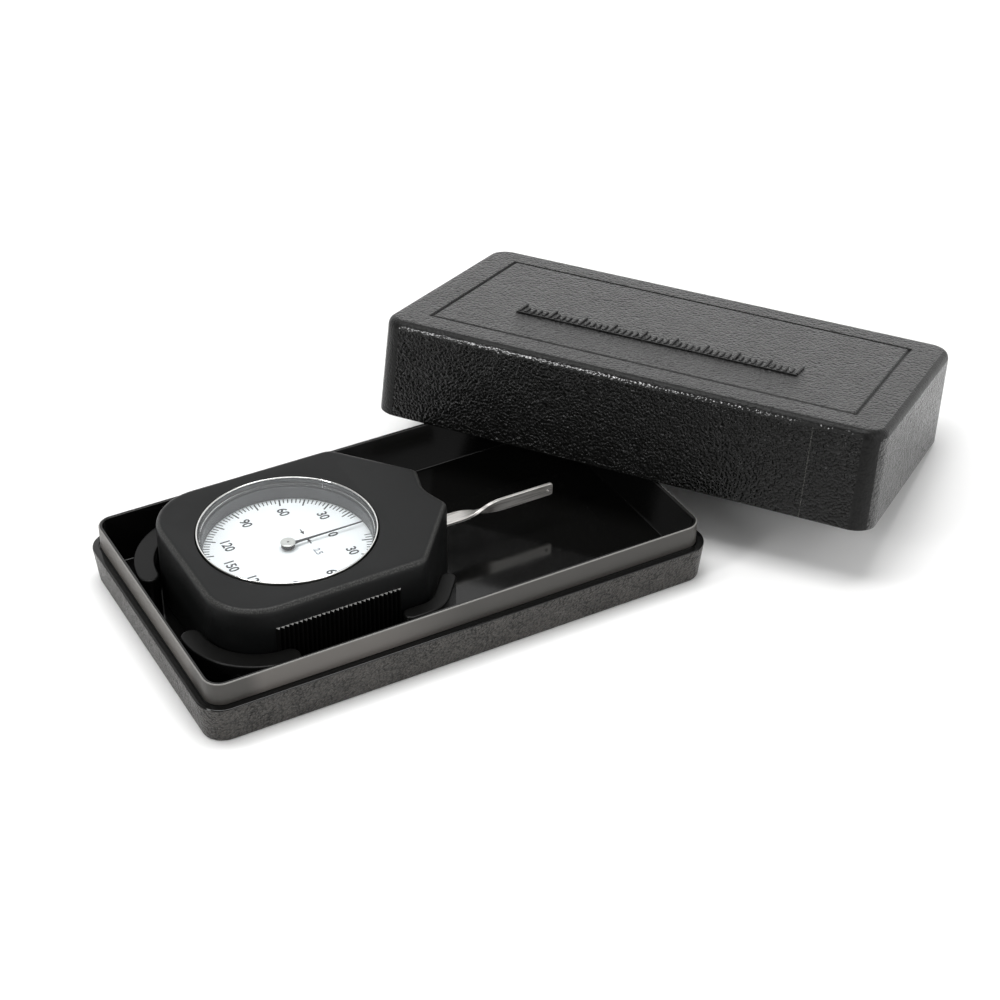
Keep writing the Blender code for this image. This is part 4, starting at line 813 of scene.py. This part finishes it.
arrow_mesh = bmesh.new()
for tip, way in ((3.6, -1), (1.6, 1)):
    shape = [(0.17, -2.6), (0.17, -1.4), (0.6, -1.6), (0, 0)]
    shape += [(-x, y) for x, y in reversed(shape[:3])]
    flat = [(6.3 + x * way, tip + y * way) for x, y in shape]
    loft([(flat, dial_top - 0.01), (flat, dial_top + 0.03)], arrow_mesh)
arrows = piece("dial_arrows", arrow_mesh, (print_black,), gauge_frame, 30)
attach(arrows, "gauge_body")


# The pointer, a black painted brass boss and needle pressed on the arbor, under a turned
# nickel cap with a small centre mark.
pointer_paint, pointer_shader, pointer_place = finish(
    "pointer_paint", (0.008, 0.008, 0.009), 0.34, Specular_IOR_Level=0.25
)
feed(pointer_shader, Roughness=0.30 + pointer_place.noise(0.8, 2) * 0.12)
needle_top = 19.3
boss_mesh = lathe(
    [(0.5, needle_top), (1.7, needle_top), (1.85, needle_top - 0.15)]
    + [(1.85, 18.45), (1.78, 18.4), (0.5, 18.4)],
    64,
    closed=True,
)
needle_shape = [(1.0, -0.75), (2.2, -0.62), (3.4, -0.42), (8.0, -0.30), (21.9, -0.13)]
needle_shape += [(x, -y) for x, y in reversed(needle_shape)]
needle_crown = [(x, y * 0.7) for x, y in needle_shape]
loft([(needle_shape, 18.92), (needle_shape, 19.12), (needle_crown, 19.2)], boss_mesh)
needle = piece("pointer_needle", boss_mesh, (pointer_paint,), gauge_frame, 30)
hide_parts("pointer")
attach(needle, "pointer_spindle")

nickel, nickel_shader, nickel_place = finish("nickel", (0.66, 0.655, 0.62), 0.26, Metallic=1.0)
turning = nickel_place.turned((dial_x * MM, 0, 0))
settings = {"wave_type": "RINGS", "rings_direction": "Z"}
rings = turning.add("ShaderNodeTexWave", settings, {"Vector": turning, "Scale": 900.0})
feed(nickel_shader, Roughness=0.24 + nickel_place.noise(0.5, 3) * 0.14)
feed(nickel_shader, Normal=rings.bump(0.004, 0.35))
cap_mesh = lathe(
    [(0, 19.84), (0.30, 19.84), (0.38, 19.99)]
    + eased((1.6, 20.0), (2.0, 20.0), (2.0, 19.8), 4)
    + [(2.0, 19.66), (1.9, 19.6), (0, 19.6)],
    64,
)
for face in cap_mesh.faces:
    face.material_index = int(face.calc_center_median().xy.length < 0.33 and face.normal.z > 0)
cap = piece("pointer_top", cap_mesh, (nickel, pointer_paint), gauge_frame, 30)
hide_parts("pointer_cap")
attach(cap, "pointer_spindle")


# The feeler, a strip of bright spring steel screwed to the lever's hub. It lies flat up
# to the nose, takes a quarter twist and ends upright, with a small hole near its tip. Its
# upper edge tapers on the way.
pivot_x = 28.5
feeler_height, feeler_half, half_thick = 10.8, 2.5, 0.45
taper_start, taper_end, taper = 8.0, 34.0, 0.58
twist_start, twist_length, twist_steps = 23.0, 13.5, 48
feeler_mesh = bmesh.new()
stations = [(-3.2, 0.0, 1.0), (taper_start, 0.0, 1.0), (twist_start, 0.0, 1.0)]
for step in range(1, twist_steps + 1):
    share = step / twist_steps
    turn = -math.pi / 2 * share * share * (3 - 2 * share)
    stations.append((twist_start + twist_length * share, turn, 1.0))
rounded_tip = ((51.9, 1.0), (52.3, 0.94), (52.6, 0.84), (52.7, 0.70))
stations += [(x, -math.pi / 2, share) for x, share in rounded_tip]
loops = []
for x, turn, share in stations:
    slimmer = taper * min(max((x - taper_start) / (taper_end - taper_start), 0), 1)
    half, edge = (feeler_half - slimmer) * share, 0.12
    flat = [(-half + edge, -half_thick), (half - edge, -half_thick), (half, edge - half_thick)]
    flat += [(half, half_thick - edge), (half - edge, half_thick), (edge - half, half_thick)]
    flat += [(-half, half_thick - edge), (-half, edge - half_thick)]
    spun = [Matrix.Rotation(turn, 2) @ Vector(spot) for spot in flat]
    middle_height = feeler_height - slimmer
    places = [(pivot_x + x, spot.x, middle_height + spot.y) for spot in spun]
    loops.append([feeler_mesh.verts.new(place) for place in places])
for near, far in zip(loops, loops[1:]):
    for index in range(8):
        feeler_mesh.faces.new((near[index - 1], near[index], far[index], far[index - 1]))
feeler_mesh.faces.new(loops[0])
feeler_mesh.faces.new(loops[-1])
bmesh.ops.recalc_face_normals(feeler_mesh, faces=feeler_mesh.faces)
hole_reach, hole_radius = 51.2, 0.5
tip_drill = lathe([(0, 2), (hole_radius, 2), (hole_radius, -2), (0, -2)], 28)
tip_spot = Matrix.Translation((pivot_x + hole_reach, 0, feeler_height - taper))
tip_spot @= Matrix.Rotation(math.pi / 2, 4, "X")
bmesh.ops.transform(tip_drill, matrix=tip_spot, verts=tip_drill.verts)
feeler_mesh = cut_with(feeler_mesh, [tip_drill])
steel, steel_shader, steel_place = finish("bright_steel", (0.72, 0.70, 0.67), 0.35, Metallic=0.85)
grind = steel_place.turned(scale=(22, 1, 1)).noise(0.35, 3)
feed(steel_shader, Roughness=0.32 + grind * 0.22, Normal=grind.bump(0.004, 0.4))
ground = grind.between(0.32, 0.62)
feed(steel_shader, Base_Color=ground.blend((0.50, 0.485, 0.46), (0.82, 0.80, 0.77)))
strip = piece("feeler_strip", feeler_mesh, (steel,), gauge_frame, 30)
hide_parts("feeler")
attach(strip, "feeler_lever")


# The two measuring springs, thin leaves of spring steel held in slots of the block behind
# the pointer's arbor. The pin under the lever's hub stands between their free ends and
# bends them when the feeler swings.
leaf_low, leaf_high, leaf_thick, leaf_steps = 9.55, 10.85, 0.3, 60
leaves = (("spring_leaf_1", "measuring_spring_1", 1), ("spring_leaf_2", "measuring_spring_2", -1))
for name, node, side in leaves:
    clamped, free = Vector((-51.3, 4.2 * side)), Vector((-9.705, 1.0284 * side))
    way = (free - clamped).normalized()
    across = Vector((-way.y, way.x)) * leaf_thick / 2
    leaf_mesh = bmesh.new()
    loops = []
    for step in range(leaf_steps + 1):
        spot = clamped.lerp(free, step / leaf_steps)
        corners = [(spot - across, leaf_low), (spot + across, leaf_low)]
        corners += [(spot + across, leaf_high), (spot - across, leaf_high)]
        loops.append([leaf_mesh.verts.new((*place, height)) for place, height in corners])
    for near, far in zip(loops, loops[1:]):
        for index in range(4):
            leaf_mesh.faces.new((near[index - 1], near[index], far[index], far[index - 1]))
    leaf_mesh.faces.new(loops[0])
    leaf_mesh.faces.new(loops[-1])
    bmesh.ops.recalc_face_normals(leaf_mesh, faces=leaf_mesh.faces)
    leaf = piece(name, leaf_mesh, (steel,), Matrix.Identity(4), 30)
    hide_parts(node)
    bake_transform(leaf)


# The pieces behind the dial, seen when the rear cover or the crystal is off: the black
# lacquered cover, brass plates, pillars, bushes and gears, steel arbors, screws, hairspring
# and stops, and two synthetic ruby jewels.
brass, brass_shader, brass_place = finish("milled_brass", (0.78, 0.58, 0.28), 0.30, Metallic=1.0)
brushed = brass_place.turned(scale=(16, 1, 1)).noise(0.4, 3)
feed(brass_shader, Roughness=0.24 + brushed * 0.16, Normal=brushed.bump(0.003, 0.4))
lacquer, lacquer_shader, lacquer_place = finish("black_lacquer", (0.018, 0.018, 0.019), 0.42)
feed(lacquer_shader, Roughness=0.38 + lacquer_place.noise(6, 3) * 0.12)
feed(lacquer_shader, Normal=lacquer_place.noise(0.3, 2).bump(0.01, 0.6))
ruby, ruby_shader, ruby_place = finish("ruby", (0.42, 0.015, 0.05), 0.08, Coat_Weight=0.5)
feed(ruby_shader, Roughness=0.06 + ruby_place.noise(0.5, 2) * 0.05)
finishes = {"steel": steel, "brass": brass, "black_metal": lacquer, "ruby": ruby, "chrome": chrome}
shown_elsewhere = {
    "case_tray", "case_lid", "gauge_housing", "bezel_ring", "crystal", "recess_ring",
    "dial_plate", "pointer", "pointer_cap", "feeler", "measuring_spring_1", "measuring_spring_2",
}
for part in frame["record"]["subparts"]:
    if part["node"] in shown_elsewhere:
        continue
    data = nodes[part["node"]].data
    data.materials.clear()
    data.materials.append(finishes[part["material_slot"]])


# The studio: a white paper sweep that rises to about 45 degrees behind the tray and on its
# right, a dark room above it and on the left, a large soft box overhead, two small boxes
# on the left that light the lid's grain and its front edge, and a weak box in front.
floor_mesh = bmesh.new()
bmesh.ops.create_grid(floor_mesh, x_segments=1, y_segments=1, size=3000)
floor_paint, floor_shader, floor_place = finish("floor_paper", (0.93, 0.93, 0.925), 0.45)
feed(floor_shader, Roughness=0.42 + floor_place.noise(60, 2) * 0.08)
floor = piece("floor", floor_mesh, (floor_paint,))
world = bpy.data.worlds.new("studio")
bpy.context.scene.world = world
world.use_nodes = True
sky = Wire(world.node_tree).add("ShaderNodeTexCoord", {}, {}, "Generated")
sweep = 1 - sky.axis("Z").between(0.60, 0.85)
lit_side = (sky.axis("X") * 0.95 + sky.axis("Y") * 0.30).between(-0.75, 0.05)
glow = (0.17 + sweep * (0.20 + lit_side * 0.82)).socket
world.node_tree.links.new(glow, world.node_tree.nodes["Background"].inputs["Strength"])
world.node_tree.nodes["Background"].inputs["Color"].default_value = (1, 1, 1, 1)
for name, spot, aim, size, power in (
    ("soft_box", (0.02, 0.10, 1.0), (0.02, 0.0, 0.0), (0.72, 0.5), 7.2),
    ("small_box", (-0.41, 0.245, 0.97), (0.04, 0.02, 0.04), (0.17, 0.13), 1.2),
    ("side_box", (-0.80, -0.17, 0.53), (0.06, 0.0, 0.02), (0.16, 0.23), 2.4),
    ("front_box", (0.46, -0.85, 0.50), (0.05, 0.0, 0.0), (0.8, 0.6), 1.8),
):
    lamp = bpy.data.objects.new(name, bpy.data.lights.new(name, "AREA"))
    bpy.context.scene.collection.objects.link(lamp)
    lamp.data.shape = "RECTANGLE"
    lamp.data.size, lamp.data.size_y = size
    lamp.data.energy = power
    lamp.location = spot
    lamp.rotation_euler = (Vector(aim) - Vector(spot)).to_track_quat("-Z", "Y").to_euler()
bpy.context.scene.view_settings.view_transform = "Standard"
